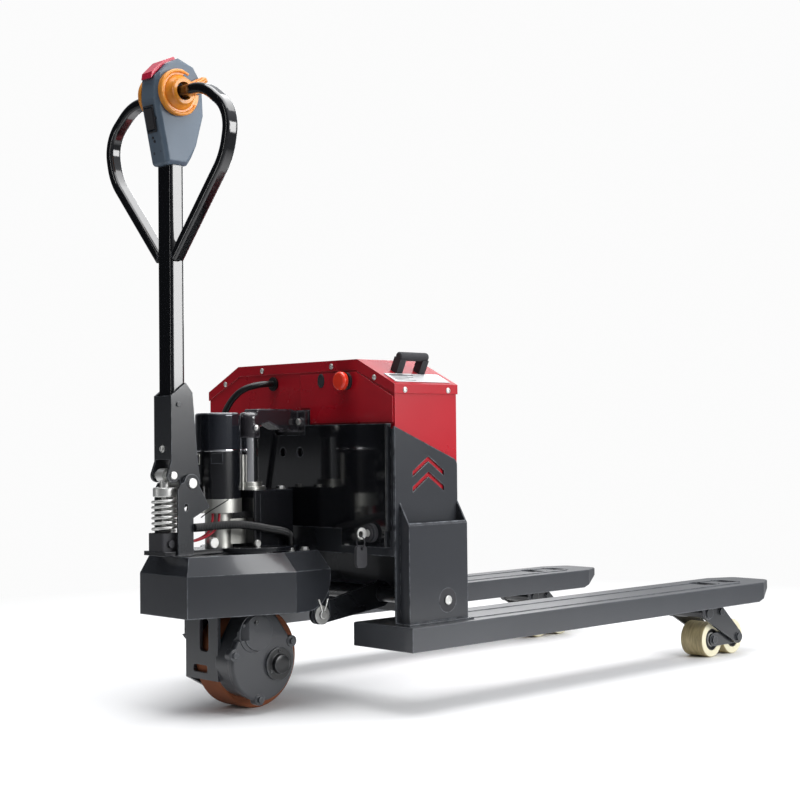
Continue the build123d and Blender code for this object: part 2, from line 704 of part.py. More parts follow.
def switch_panel():
    """Proud panel on the right half of the box front, for the stop switch and the plug."""
    low = BULKHEAD_TOP + 12
    half = BOX_HALF - 3
    slope = (ROOF_Z - SHOULDER_Z) / (BOX_HALF - ROOF_HALF)
    top = ROOF_Z - LID_FLANGE - 4
    shoulder = SHOULDER_Z - LID_FLANGE - 4 + 3 * slope
    panel = front_sheet(
        outline((PANEL_SEAM_Y, low), (-half, low), (-half, shoulder), (-ROOF_HALF, top), (PANEL_SEAM_Y, top)),
        BOX_FRONT - PANEL_SHEET, BOX_FRONT)
    panel -= block(-20, BOX_FRONT + 1, -NOTCH_HALF, 0, low - 1, BRACKET_TOP + 2)
    panel -= bar_x(STOP_Y, STOP_Z, 22, BOX_FRONT - PANEL_SHEET - 1, BOX_FRONT + 1)
    return panel


def box_screws():
    """Pan-head screws of the lid's flange."""
    screws = []
    face = BOX_FRONT - LID_SHEET - LID_GAP
    for y in FRONT_SCREW_Y:
        run = BOX_HALF - ROOF_HALF
        drop = max(0, (abs(y) - ROOF_HALF) / run) * (ROOF_Z - SHOULDER_Z)
        z = ROOF_Z - drop - LID_FLANGE / 2
        head = bar_x(y, z, SCREW_D, face - 2.5, face)
        screws.append(fillet(head.edges().group_by(Axis.X)[0], 1.5))
    side_face = BOX_HALF + LID_SHEET + LID_GAP
    for side in SIDES:
        for x in SIDE_SCREW_X:
            low, high = sorted((side * side_face, side * (side_face + 2.5)))
            head = bar_y(x, SHOULDER_Z - LID_FLANGE / 2, SCREW_D, low, high)
            screws.append(head)
    return screws


def stop_base():
    face = BOX_FRONT - PANEL_SHEET
    base = bar_x(STOP_Y, STOP_Z, STOP_D, face - 6, face)
    base += bar_x(STOP_Y, STOP_Z, 21, face, BOX_FRONT + 30)
    base -= bar_x(STOP_Y, STOP_Z, 14, face - 7, face + 14)
    return base


def stop_button():
    """Mushroom button on a stem that slides in the switch base."""
    face = BOX_FRONT - PANEL_SHEET - 6
    button = bar_x(STOP_Y, STOP_Z, STOP_D + 2, face - 16, face - 5)
    button = fillet(button.edges().group_by(Axis.X)[0], 5)
    button += bar_x(STOP_Y, STOP_Z, 14 - 2 * RUN, face - 5, face + 12)
    return button


def cable_grommet():
    face = BOX_FRONT
    grommet = bar_x(GROMMET_Y, CABLE_HOLE_Z, 28, face - 4, face)
    grommet += bar_x(GROMMET_Y, CABLE_HOLE_Z, 21.6, face, face + 8)
    grommet -= bar_x(GROMMET_Y, CABLE_HOLE_Z, CABLE_D, -2, face + 10)
    grommet += bar_x(GROMMET_Y, CABLE_HOLE_Z, CABLE_D, -2, face + 8)
    return grommet


def battery_handle():
    """Grip on two feet, on the right shoulder of the lid."""
    lift = LID_SHEET + LID_GAP
    span = GRIP_LENGTH - 16
    feet = Part()
    for end in SIDES:
        x = end * span / 2
        feet += block(x - 8, x + 8, -9, 9, 0, GRIP_RISE - 4)
    grip = bar_x(0, GRIP_RISE, GRIP_D, -GRIP_LENGTH / 2, GRIP_LENGTH / 2)
    handle = feet + fillet(grip.edges(), 4)
    mid_y = -(BOX_HALF + ROOF_HALF + lift + lift * tan(radians(SHOULDER_SLOPE / 2))) / 2
    mid_z = (SHOULDER_Z + ROOF_Z) / 2 + lift + 0.1
    return Pos(GRIP_X, mid_y, mid_z) * Rot(SHOULDER_SLOPE, 0, 0) * handle


def battery_pack():
    return block(20, 156, -205, 205, BOX_BOTTOM + BOX_SHEET, 588)


# ------------------------------------------------------- ram and pump unit

def head_bracket():
    """Forged arm that hangs the chassis on the ram's top end."""
    boss = bar_z(STEER_X, 0, 43, RAM_TOP, BRACKET_TOP - 6)
    boss = fillet(boss.edges().group_by(Axis.Z)[-1], 12)
    profile = outline(
        (STEER_X, BRACKET_TOP - 24), (STEER_X + 6, BRACKET_TOP), (-24, BRACKET_TOP), (-8, BRACKET_TOP - 6),
        (-8, 528), (-50, 531), (-84, 546), (STEER_X, RAM_TOP + 20),
    )
    arm = side_sheet(profile, -20, 20)
    arm = fillet(arm.edges().filter_by(Axis.Y).sort_by(Axis.Z)[-2:], 4)
    flange = block(-8, 0, -42, 42, 526, BRACKET_TOP - 4)
    bracket = boss + arm + flange
    for end in SIDES:
        bracket += bar_x(end * 31, 546, 15, -14, -8)
    bracket += bar_y(STEER_X, 534, 14, -25, 0)
    return bracket


def ram():
    return bar_z(STEER_X, 0, RAM_D, RAM_BOTTOM, RAM_TOP)


def lift_cylinder():
    """Barrel under the tank top, with the gland collar that seals the ram."""
    barrel = bar_z(STEER_X, 0, CYLINDER_D, CYLINDER_BOTTOM, TANK_TOP)
    barrel += bar_z(STEER_X, 0, 58, TANK_TOP, TANK_TOP + 6)
    barrel += bar_z(STEER_X, 0, 50, TANK_TOP + 6, TANK_TOP + 15)
    barrel -= bar_z(STEER_X, 0, RAM_D + 2 * RUN, CYLINDER_BOTTOM + 5, TANK_TOP + 16)
    return barrel


def oil_tank():
    tank = block(TANK_FRONT, TANK_BACK, -TANK_HALF, TANK_HALF, TURNTABLE_Z + TURNTABLE_SHEET, TANK_TOP)
    tank = fillet(tank.edges().filter_by(Axis.Z), 4)
    tank -= bar_z(STEER_X, 0, CYLINDER_D + 0.6, TURNTABLE_Z, TANK_TOP + 1)
    tank += bar_z(TANK_BACK - 16, -26, 16, TANK_TOP, TANK_TOP + 6)
    return tank


def turntable():
    """Steered plate with the tongue that carries the tiller posts, and the yoke below it."""
    top = TURNTABLE_Z + TURNTABLE_SHEET
    disc = bar_z(STEER_X, 0, TURNTABLE_D, TURNTABLE_Z, top)
    disc += block(-336, STEER_X, -POST_Y, POST_Y, TURNTABLE_Z, top)
    disc += bar_z(STEER_X, 0, YOKE_D, CASE_TOP, TURNTABLE_Z)
    disc -= bar_z(STEER_X, 0, CYLINDER_D + 0.6, CYLINDER_BOTTOM, top + 1)
    return disc


def pump():
    """Gear pump under its motor, with the bright motor flange."""
    top = TURNTABLE_Z + TURNTABLE_SHEET
    body = bar_z(PUMP_X, 0, 52, top, FLANGE_BOTTOM)
    body += block(PUMP_X, TANK_FRONT, -24, 24, top + 6, FLANGE_BOTTOM - 12)
    body += bar_z(PUMP_X, 0, MOTOR_D + 3, FLANGE_BOTTOM, FLANGE_TOP)
    return body


def pump_motor():
    body = bar_z(PUMP_X, 0, MOTOR_D, FLANGE_TOP, MOTOR_TOP)
    terminal = Pos(PUMP_X, 0, MOTOR_TOP - 14) * Rot(0, 0, -130) * Pos(MOTOR_D / 2 + 2, 0, 0) * Box(12, 22, 20)
    return body + terminal


def motor_cap():
    cap = bar_z(PUMP_X, 0, MOTOR_D + 2, MOTOR_TOP, CAP_TOP)
    return fillet(cap.edges().group_by(Axis.Z)[-1], 6)


def tiller_posts():
    """Two plates that stand beside the tongue and carry the tiller's pivot."""
    plate = outline(
        (POST_FRONT, TURNTABLE_Z), (POST_BACK, TURNTABLE_Z), (POST_BACK, 368), (-238, 387),
        (-262, 428), (PIVOT_X, PIVOT_Z + 8), (-302, 432), (POST_FRONT, 420),
    )
    plate += Pos(PIVOT_X, PIVOT_Z) * Circle(17)
    plate -= Pos(PIVOT_X, PIVOT_Z) * Circle(PIVOT_D / 2 + RUN)
    plate -= Pos(-291, 388) * Ellipse(4.5, 7.5)
    post = side_sheet(plate, POST_Y, POST_Y + POST_SHEET)
    return mirrored(post)


def strut_foot():
    """Block that seats the spring and lets the strut's rod pass into it."""
    top = TURNTABLE_Z + TURNTABLE_SHEET
    foot = block(STRUT_X - FOOT_DEPTH / 2, STRUT_X + FOOT_DEPTH / 2, -FOOT_WIDTH / 2, FOOT_WIDTH / 2,
                 top, SPRING_BOTTOM)
    foot = fillet(foot.edges().filter_by(Axis.Z), 6)
    slot = SlotOverall(STRUT_ROD_D + 20, STRUT_ROD_D + 2)
    foot -= Pos(STRUT_X - 2, 0, 0) * top_sheet(slot, top - 1, SPRING_BOTTOM + 1)
    foot += bar_y(STRUT_X - 4, top + 14, 14, -FOOT_WIDTH / 2 - 5, -FOOT_WIDTH / 2)
    return foot


def tiller_spring():
    """Compression spring between the foot and the strut's cap."""
    mean_r = (SPRING_D - SPRING_WIRE) / 2
    low = SPRING_BOTTOM + SPRING_WIRE / 2 + 0.3
    high = SPRING_TOP - SPRING_WIRE / 2 - 0.3
    pitch = (high - low) / SPRING_COILS
    path = Helix(pitch=pitch, height=high - low, radius=mean_r)
    start = Plane(origin=path @ 0, z_dir=path % 0)
    coil = sweep(start * Circle(SPRING_WIRE / 2), path=path, is_frenet=True)
    return Pos(STRUT_X, 0, low) * coil


def strut_rod():
    """Eye, neck, cap and guide rod that press on the spring."""
    rod = bar_y(STRUT_X, STRUT_Z, 26, -11, 11)
    rod += bar_z(STRUT_X, 0, 18, STRUT_CAP_TOP, STRUT_Z)
    rod += bar_z(STRUT_X, 0, 44, SPRING_TOP, STRUT_CAP_TOP)
    rod = fillet(rod.edges().filter_by(GeomType.CIRCLE).filter_by(lambda e: abs(e.radius - 22) < 0.1), 3)
    rod += bar_z(STRUT_X, 0, STRUT_ROD_D, 354, SPRING_TOP)
    rod -= bar_y(STRUT_X, STRUT_Z, STRUT_PIN_D + 2 * RUN, -12, 12)
    return rod


# ------------------------------------------------------------------ tiller

def tiller_cheeks():
    """Folded channel: two cheeks joined by a web across the front."""
    plate = outline(
        (-316, 470), (-316, 594), (-283, 618), (-268, 600), (-257, 473), (-250, 430),
        (PIVOT_X, PIVOT_Z - 8), (-300, 440),
    )
    plate += Pos(PIVOT_X, PIVOT_Z) * Circle(19)
    plate += link((STRUT_X, STRUT_Z, 13), (STRUT_X + 9, STRUT_Z + 24, 13))
    cheek = side_sheet(plate, CHEEK_Y, CHEEK_Y + CHEEK_SHEET)
    cheek += bar_y(PIVOT_X, PIVOT_Z, 28, CHEEK_Y + CHEEK_SHEET, POST_Y - 0.4)
    cheek -= bar_y(PIVOT_X, PIVOT_Z, PIVOT_D, CHEEK_Y - 1, POST_Y + 1)
    cheek -= bar_y(STRUT_X, STRUT_Z, STRUT_PIN_D, CHEEK_Y - 1, POST_Y + 1)
    cheek += bar_y(-300, 578, 9, CHEEK_Y + CHEEK_SHEET, CHEEK_Y + CHEEK_SHEET + 3)
    web = block(-316, -316 + CHEEK_WEB, -CHEEK_Y - 1, CHEEK_Y + 1, 476, 594)
    return cheek + mirror(cheek, about=Plane.XZ) + web


def tiller_pins():
    """Pivot pin and strut pin with their bright heads."""
    half = POST_Y + POST_SHEET + 0.4
    pivot = bar_y(PIVOT_X, PIVOT_Z, PIVOT_D, -half - 4, half + 4)
    strut = bar_y(STRUT_X, STRUT_Z, STRUT_PIN_D, -31, 31)
    return [fillet(pin.edges(), 1.5) for pin in (pivot, strut)]


def tiller_tube():
    section = RectangleRounded(TUBE_DEPTH, TUBE_WIDTH, 6)
    section -= RectangleRounded(TUBE_DEPTH - 2 * TUBE_WALL, TUBE_WIDTH - 2 * TUBE_WALL, 3)
    return Pos(TUBE_X, 0, 0) * top_sheet(section, TUBE_BOTTOM, HEAD_BOTTOM)


def handle_loop(side):
    """Bent tube from the head out, down and back in to the tiller tube."""
    route = ((side * (HEAD_HALF - 2), LOOP_Z), (side * (LOOP_REACH - 72), LOOP_Z - 4),
             (side * (LOOP_REACH + 4), LOOP_Z - 59), (side * (LOOP_REACH - 14), LOOP_Z - 137),
             (side * TUBE_WIDTH / 2, LOOP_JOIN_Z))
    points = [Vector(LOOP_X, y, z) for y, z in route]
    path = FilletPolyline(*points, radius=LOOP_BENDS)
    start = Plane(origin=path @ 0, x_dir=(1, 0, 0), z_dir=path % 0)
    loop = sweep(start * RectangleRounded(LOOP_DEPTH, LOOP_WIDTH, LOOP_CORNER), path=path)
    half_x, half_y = TUBE_DEPTH / 2, TUBE_WIDTH / 2
    loop -= block(TUBE_X - half_x, TUBE_X + half_x, -half_y, half_y, TUBE_BOTTOM, HEAD_BOTTOM)
    return loop - block(LOOP_X - 20, LOOP_X + 20, -HEAD_HALF, HEAD_HALF, LOOP_Z - 20, LOOP_Z + 20)


def button_outline():
    return outline((-348, 1178), (-346, 1190), (-322, 1214), (-298, 1225), (-294, 1221), (-318, 1209), (-343, 1184))


def button_stem(diameter, reach):
    """Round stem square to the button, running into the head."""
    middle = Pos((BUTTON_X, 0, BUTTON_Z)) * Rot(0, 180 - BUTTON_TILT, 0)
    return middle * Pos(0, 0, reach / 2) * Cylinder(diameter / 2, reach)


def head_recess():
    """Room in the head for the reversing button's travel and stem."""
    room = Part()
    for push in (0, BUTTON_TRAVEL / 2, BUTTON_TRAVEL):
        moved = Pos(push * sin(radians(BUTTON_TILT)), -push * cos(radians(BUTTON_TILT)))
        room += side_sheet(moved * offset(button_outline(), 0.4), -BUTTON_HALF - 0.4, BUTTON_HALF + 0.4)
    return room + button_stem(BUTTON_STEM_D + 2 * RUN, 30)


def rocker_frame():
    """Place of the rocker switch on the head's sloping front face."""
    return Pos(ROCKER_X, 0, ROCKER_Z) * Rot(0, -ROCKER_TILT, 0)


def tiller_head():
    """Moulded head: broad at the top, tapering down to the tube."""
    profile = outline(
        (-320, HEAD_BOTTOM), (-345, 1140), (-343, 1182), (-318, 1208), (-296, 1220), (-262, 1208),
        (-243, 1180), (-240, 1120), (-262, 1040), (-274, HEAD_BOTTOM),
    )
    profile = fillet(profile.vertices().sort_by(Axis.Y)[:2], 8)
    head = side_sheet(profile, -HEAD_HALF, HEAD_HALF)
    head = chamfer(head.edges().filter_by(Plane.XZ).sort_by(Axis.X)[:4], 7)
    head -= head_recess()
    head -= rocker_frame() * block(-8, 6, -ROCKER_HALF - 0.8, ROCKER_HALF + 0.8, -22, 22)
    head -= bar_y(ROCKER_X, ROCKER_Z, 4 + 2 * RUN, -ROCKER_HALF - 6, ROCKER_HALF + 6)
    return head


def throttle():
    """Butterfly paddles, one round each loop root, joined by their shaft in the head."""
    low = HEAD_HALF + 0.6
    high = low + THROTTLE_SHEET
    disc = Pos(LOOP_X, LOOP_Z) * Circle(THROTTLE_D / 2)
    disc -= outline((LOOP_X - 6, LOOP_Z + 15), (LOOP_X + 30, LOOP_Z + 60), (LOOP_X + 60, LOOP_Z + 20), (LOOP_X + 60, LOOP_Z))
    wing = link((LOOP_X + 22, LOOP_Z + 10, 10), (LOOP_X + 54, LOOP_Z + 30, 7))
    face = disc + wing
    face -= Pos(LOOP_X, LOOP_Z) * Circle(17)
    paddle = side_sheet(face, low, high)
    paddle += Pos(LOOP_X, 0, LOOP_Z) * Rot(90, 0, 0) * Pos(0, 0, -(high + 8)) * (Cylinder(23, 16) - Cylinder(17, 16))
    return mirrored(paddle)


def head_button():
    """Reversing button along the head's upper front edge, on its stem."""
    return side_sheet(button_outline(), -BUTTON_HALF, BUTTON_HALF) + button_stem(BUTTON_STEM_D, 20)


def rocker_switch():
    """Rocker on a cross pin, in the head's front face."""
    switch = fillet(block(-4, 3, -ROCKER_HALF, ROCKER_HALF, -19, 19).edges().filter_by(Axis.X), 3)
    return rocker_frame() * switch + bar_y(ROCKER_X, ROCKER_Z, 4, -ROCKER_HALF - 5, ROCKER_HALF + 5)


# ---------------------------------------------------------------- carriage

def guard_outline(inset):
    front = GUARD_FRONT + inset
    return outline(
        (front, inset - GUARD_FRONT_HALF), (GUARD_KNEE_X, inset - GUARD_HALF), (GUARD_REAR, inset - GUARD_HALF),
        (GUARD_REAR, GUARD_HALF - inset), (GUARD_KNEE_X, GUARD_HALF - inset), (front, GUARD_FRONT_HALF - inset),
    )


def crown_outline(inset):
    front = -304 + inset
    return outline(
        (front, inset - 62), (GUARD_KNEE_X, inset - 104), (GUARD_REAR, inset - 104),
        (GUARD_REAR, 104 - inset), (GUARD_KNEE_X, 104 - inset), (front, 62 - inset),
    )


def guard():
    """Folded sheet guard round the drive unit, open below and behind."""
    sheet = GUARD_SHEET
    outer = top_sheet(guard_outline(0), GUARD_BOTTOM, GUARD_RIM)
    outer += loft([Plane.XY.offset(GUARD_RIM) * guard_outline(0), Plane.XY.offset(GUARD_CROWN) * crown_outline(0)],
                  ruled=True)
    inner = top_sheet(guard_outline(sheet), GUARD_BOTTOM - 1, GUARD_RIM - sheet)
    inner += loft([Plane.XY.offset(GUARD_RIM - sheet) * guard_outline(sheet),
                   Plane.XY.offset(GUARD_CROWN - sheet) * crown_outline(sheet)], ruled=True)
    body = outer - inner
    corner = block(GUARD_REAR - GUARD_CORNER, GUARD_REAR + 1, -200, 200, GUARD_BOTTOM - 1, GUARD_BOTTOM + GUARD_CORNER)
    corner -= bar_y(GUARD_REAR - GUARD_CORNER, GUARD_BOTTOM + GUARD_CORNER, 2 * GUARD_CORNER, -200, 200)
    body -= corner
    body -= bar_z(STEER_X, 0, RING_D, PLATE_Z, GUARD_CROWN + 1)
    gland_x, gland_y, _ = CABLE_ROUTE[-1]
    body -= bar_z(gland_x, gland_y, GLAND_D + 0.6, GUARD_RIM - 5, GUARD_CROWN + 1)
    return body


def carriage_plate():
    """Plate under the guard's crown, with the ears that hold the link pins."""
    plate = top_sheet(crown_outline(GUARD_SHEET + 4), PLATE_Z, PLATE_Z + PLATE_SHEET)
    plate &= block(-250, GUARD_REAR - 2, -98, 98, PLATE_Z, PLATE_Z + PLATE_SHEET)
    plate += block(-92, GUARD_REAR - 2, -EAR_Y, EAR_Y, 250, 256)
    plate += block(-92, GUARD_REAR - 2, -98, 98, 256, PLATE_Z)
    plate -= bar_z(STEER_X, 0, RING_D, 240, PLATE_Z + PLATE_SHEET + 1)
    ear = link((LINK_PIN_X + 3.5, LINK_PIN_Z, 19), (-52, 237, 19))
    ear += outline((-80, 240), (-32, 240), (-32, 256), (-80, 256))
    slot_low = LINK_PIN_X - 3
    slot_high = LINK_PIN_X + 9
    slot_r = LINK_PIN_D / 2 + 1
    slot = link((slot_low, LINK_PIN_Z, slot_r), (slot_high, LINK_PIN_Z, slot_r))
    half = EAR_SHEET / 2
    for side in SIDES:
        y = side * EAR_Y
        plate += side_sheet(ear - slot, y - half, y + half)
    return plate


def slewing_ring():
    """Bearing ring between the carriage plate and the yoke."""
    ring = bar_z(STEER_X, 0, RING_D - 0.2, PLATE_Z - 8, TURNTABLE_Z - 0.3)
    ring -= bar_z(STEER_X, 0, YOKE_D + 2 * RUN, PLATE_Z - 9, TURNTABLE_Z)
    return ring


def cable_gland():
    """Gland that seats the cable's lower end in the guard."""
    x, y, end_z = CABLE_ROUTE[-1]
    return bar_z(x, y, GLAND_D, GUARD_RIM + 6, end_z - 8) + bar_z(x, y, CABLE_D + 4, end_z - 8, end_z)


# -------------------------------------------------------------- drive unit

def within_sweep(shape):
    """Keep a steered piece inside the room that the guard and the links leave it."""
    high = bar_z(STEER_X, 0, 2 * SWEEP_HIGH, SWEEP_STEP_Z, TURNTABLE_Z)
    low = bar_z(STEER_X, 0, 2 * SWEEP_LOW, 0, SWEEP_STEP_Z)
    return shape & (high + low)


def egg(grow):
    return link((CASE_X, CASE_Z, CASE_R + grow), (GEAR_TOP_X + 20, GEAR_TOP_Z, GEAR_TOP_R + grow))


def gearbox_case():
    """Gear case beside the wheel, the web across its front and the far leg."""
    case = side_sheet(egg(-3), GEAR_FACE + 14, GEAR_INNER)
    case += block(-170, -70, GEAR_FACE + 14, LEG_Y + LEG_SHEET, CASE_TOP - 8, CASE_TOP)
    web = front_sheet(outline((GEAR_INNER - 6, 62), (LEG_Y + LEG_SHEET, 62), (LEG_Y + LEG_SHEET, CASE_TOP),
                              (GEAR_INNER - 6, CASE_TOP)), WEB_X, WEB_X + 7)
    web -= front_sheet(Pos(-4, 146) * RectangleRounded(28, 62, 8), WEB_X - 1, WEB_X + 8)
    web -= front_sheet(Pos(8, 82) * RectangleRounded(44, 14, 5), WEB_X - 1, WEB_X + 8)
    leg = outline((WEB_X, 62), (WEB_X + 40, 40), (WHEEL_X, 62), (WHEEL_X + 42, 96), (-72, CASE_TOP), (WEB_X, CASE_TOP))
    case += web + side_sheet(leg, LEG_Y, LEG_Y + LEG_SHEET)
    case += block(WEB_X, -70, GEAR_INNER - 6, LEG_Y + LEG_SHEET, CASE_TOP - 8, CASE_TOP)
    case -= bar_y(WHEEL_X, WHEEL_Z, AXLE_D + 2 * RUN, GEAR_FACE + 30, LEG_Y + LEG_SHEET + 1)
    return within_sweep(case)


def gearbox_cover():
    """Outer gear cover with three bolt lugs, the round gear cap and the axle cap."""
    cover = side_sheet(egg(0), GEAR_FACE, GEAR_FACE + 14)
    cover = fillet(cover.edges().group_by(Axis.Y)[0], 5)
    for x, z in ((CASE_X - CASE_R + 4, 116), (CASE_X + 66, 129), (CASE_X - 12, CASE_Z - CASE_R + 4)):
        cover += bar_y(x, z, 22, GEAR_FACE - 2, GEAR_FACE + 14)
        cover += bar_y(x, z, 12, GEAR_FACE - 7, GEAR_FACE - 2)
    cover += bar_y(GEAR_TOP_X + 8, GEAR_TOP_Z, 66, GEAR_FACE - 2.5, GEAR_FACE)
    cover += bar_y(WHEEL_X, 90, 62, GEAR_FACE - 5, GEAR_FACE)
    cover += bar_y(WHEEL_X, 90, 34, GEAR_FACE - 14, GEAR_FACE)
    return within_sweep(cover)


def traction_motor():
    """Finned motor on the far leg."""
    start = LEG_Y + LEG_SHEET
    body = bar_y(TRACTION_X, TRACTION_Z, TRACTION_D - 8, start, start + 22)
    for i in range(4):
        y = start + 2 + 6 * i
        body += bar_y(TRACTION_X, TRACTION_Z, TRACTION_D, y, y + 2.5)
    body += bar_y(TRACTION_X + 8, TRACTION_Z, 52, start + 22, start + 40)
    return within_sweep(body)


def wheel_hub():
    half = WHEEL_WIDTH / 2
    hub = bar_y(WHEEL_X, WHEEL_Z, WHEEL_D - 2 * TYRE_THICKNESS, -half, half)
    hub += bar_y(WHEEL_X, WHEEL_Z, AXLE_D, GEAR_INNER - 20, LEG_Y + LEG_SHEET - 1)
    return hub


def wheel_tyre():
    half = WHEEL_WIDTH / 2
    tyre = bar_y(WHEEL_X, WHEEL_Z, WHEEL_D, -half, half)
    tyre = fillet(tyre.edges(), 5)
    tyre -= bar_y(WHEEL_X, WHEEL_Z, WHEEL_D - 2 * TYRE_THICKNESS, -half - 1, half + 1)
    return tyre


def main_cable():
    return tube_along(CABLE_ROUTE, CABLE_D)


def harness():
    """Conduit and two leads, clipped to the steered pump unit."""
    return [tube_along(HARNESS_ROUTE, 17)] + [tube_along(route, 5) for route in LEAD_ROUTES]


# ---------------------------------------------------------------- assembly

def as_list(shape):
    return shape if isinstance(shape, list) else [shape]


def build_parts():
    parts = {
        "side_plates": mirrored(side_plate()),
        "side_bins": mirrored(side_bin()),
        "shaft_bushes": shaft_bushes(),
        "bulkhead": bulkhead(),
        "rear_panel": rear_panel(),
        "controller": controller(),
        "front_cover": front_cover(),
        "key_lock": key_lock(),
        "key": key(),
        "key_fob": key_fob(),
        "battery_box": battery_box(),
        "battery_lid": battery_lid(),
        "switch_panel": switch_panel(),
        "box_screws": box_screws(),
        "stop_base": stop_base(),
        "stop_button": stop_button(),
        "cable_grommet": cable_grommet(),
        "battery_handle": battery_handle(),
        "battery_pack": battery_pack(),
        "head_bracket": head_bracket(),
        "ram": ram(),
        "lift_cylinder": lift_cylinder(),
        "oil_tank": oil_tank(),
        "turntable": turntable(),
        "pump": pump(),
        "pump_motor": pump_motor(),
        "motor_cap": motor_cap(),
        "tiller_posts": tiller_posts(),
        "strut_foot": strut_foot(),
        "tiller_spring": tiller_spring(),
        "strut_rod": strut_rod(),
        "tiller_cheeks": tiller_cheeks(),
        "tiller_pins": tiller_pins(),
        "tiller_tube": tiller_tube(),
        "handle_loops": [handle_loop(side) for side in SIDES],
        "tiller_head": tiller_head(),
        "throttle": throttle(),
        "head_button": head_button(),
        "rocker_switch": rocker_switch(),
        "guard": guard(),
        "carriage_plate": carriage_plate(),
        "slewing_ring": slewing_ring(),
        "cable_gland": cable_gland(),
        "gearbox_case": gearbox_case(),
        "gearbox_cover": gearbox_cover(),
        "traction_motor": traction_motor(),
        "wheel_hub": wheel_hub(),
        "wheel_tyre": wheel_tyre(),
        "main_cable": main_cable(),
        "harness": harness(),
        "lift_rocker": [lift_rocker()] + link_washers(),
    }
    forks = []
    rods = []
    for side in SIDES:
        forks.append(fork(side))
        rods.append(push_rod(side))
    parts["fork_left"], parts["fork_right"] = forks
    parts["push_rods"] = rods
    parts["roller_arms"] = [roller_arm(side) for side in SIDES]
    parts["bogies"] = [bogie(side) for side in SIDES]
    for side, name in zip(SIDES, ("left", "right")):
        parts[f"roller_front_{name}"] = roller(FRONT_ROLLER_X, side)
        parts[f"roller_rear_{name}"] = roller(REAR_ROLLER_X, side)
    return {name: as_list(shape) for name, shape in parts.items()}


def footprint_shift(parts):
    """Vector that brings the middle of the footprint to the origin."""
    boxes = [s.bounding_box() for name, shapes in parts.items() if name != "main_cable" for s in shapes]
    low_x = min(b.min.X for b in boxes)
    high_x = max(b.max.X for b in boxes)
    low_y = min(b.min.Y for b in boxes)
    high_y = max(b.max.Y for b in boxes)
    low_z = min(b.min.Z for b in boxes)
    return Vector(-(low_x + high_x) / 2, -(low_y + high_y) / 2, -low_z)


def place_all():
    parts = build_parts()
    shift = footprint_shift(parts)
    os.makedirs("parts", exist_ok=True)
    for name, shapes in parts.items():
        moved = [Pos(shift.X, shift.Y, shift.Z) * shape for shape in shapes]
        export_step(Compound(children=moved), f"parts/{name}.step")
    print("shift", round(shift.X, 3), round(shift.Y, 3), round(shift.Z, 3), "nodes", len(parts))
    return shift


SHIFT = place_all()
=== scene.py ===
"""Looks of an electric pallet truck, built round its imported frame.

Lengths are metres. Places are worked out from the CAD nodes' boxes, and from sizes in millimetres
that are measured from the front face of the chassis, the middle plane and the floor.
"""

import json
import logging
import math
from dataclasses import dataclass
from enum import Enum

import bmesh
import bpy
from mathutils import Matrix, Vector

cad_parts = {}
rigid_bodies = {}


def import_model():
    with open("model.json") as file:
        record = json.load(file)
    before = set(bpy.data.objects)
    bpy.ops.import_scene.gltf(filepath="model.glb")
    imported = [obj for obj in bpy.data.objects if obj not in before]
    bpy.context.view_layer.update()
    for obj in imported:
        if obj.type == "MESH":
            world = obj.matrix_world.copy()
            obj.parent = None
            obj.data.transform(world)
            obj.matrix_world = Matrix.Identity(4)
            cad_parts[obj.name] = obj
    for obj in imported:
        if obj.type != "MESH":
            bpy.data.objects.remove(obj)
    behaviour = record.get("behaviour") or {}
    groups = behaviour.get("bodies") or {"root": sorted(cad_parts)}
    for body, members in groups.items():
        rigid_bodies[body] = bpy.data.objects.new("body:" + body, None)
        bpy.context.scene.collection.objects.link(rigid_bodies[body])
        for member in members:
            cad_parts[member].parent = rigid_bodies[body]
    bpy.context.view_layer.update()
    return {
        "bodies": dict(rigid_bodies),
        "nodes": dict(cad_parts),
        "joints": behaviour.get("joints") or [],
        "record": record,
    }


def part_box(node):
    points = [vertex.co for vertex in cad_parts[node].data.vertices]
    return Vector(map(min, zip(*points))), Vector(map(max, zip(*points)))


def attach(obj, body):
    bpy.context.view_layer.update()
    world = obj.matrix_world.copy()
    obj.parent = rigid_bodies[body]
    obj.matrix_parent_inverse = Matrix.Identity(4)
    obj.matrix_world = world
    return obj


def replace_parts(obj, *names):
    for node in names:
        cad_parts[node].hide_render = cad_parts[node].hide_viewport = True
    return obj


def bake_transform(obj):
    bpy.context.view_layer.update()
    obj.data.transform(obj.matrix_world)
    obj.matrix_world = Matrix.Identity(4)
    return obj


LOG = logging.getLogger("pallet_truck")
MM = 0.001


class Side(Enum):
    """A side of the truck, as the sign of its Y."""

    LEFT = 1
    RIGHT = -1

    def out(self) -> Vector:
        """The direction away from the middle plane."""
        return Vector((0.0, self.value, 0.0))

    def face(self, name: str) -> float:
        """The Y of a CAD node's outermost face on this side."""
        low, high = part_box(name)
        return high.y if self is Side.LEFT else low.y


class Way(Enum):
    """A direction in the row frame."""

    FRONT = (-1.0, 0.0, 0.0)
    LEFT = (0.0, 1.0, 0.0)
    RIGHT = (0.0, -1.0, 0.0)
    UP = (0.0, 0.0, 1.0)

    def vector(self) -> Vector:
        """The direction as a vector."""
        return Vector(self.value)


def spot(x: float, y: float, z: float) -> Vector:
    """A point given in millimetres from the chassis front, the middle plane and the floor.

    Args:
        x: distance behind the chassis front.
        y: distance to the left of the middle.
        z: height.

    Returns:
        The point in the row frame, in metres.
    """
    return Vector((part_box("bulkhead")[0].x + x * MM, y * MM, z * MM))


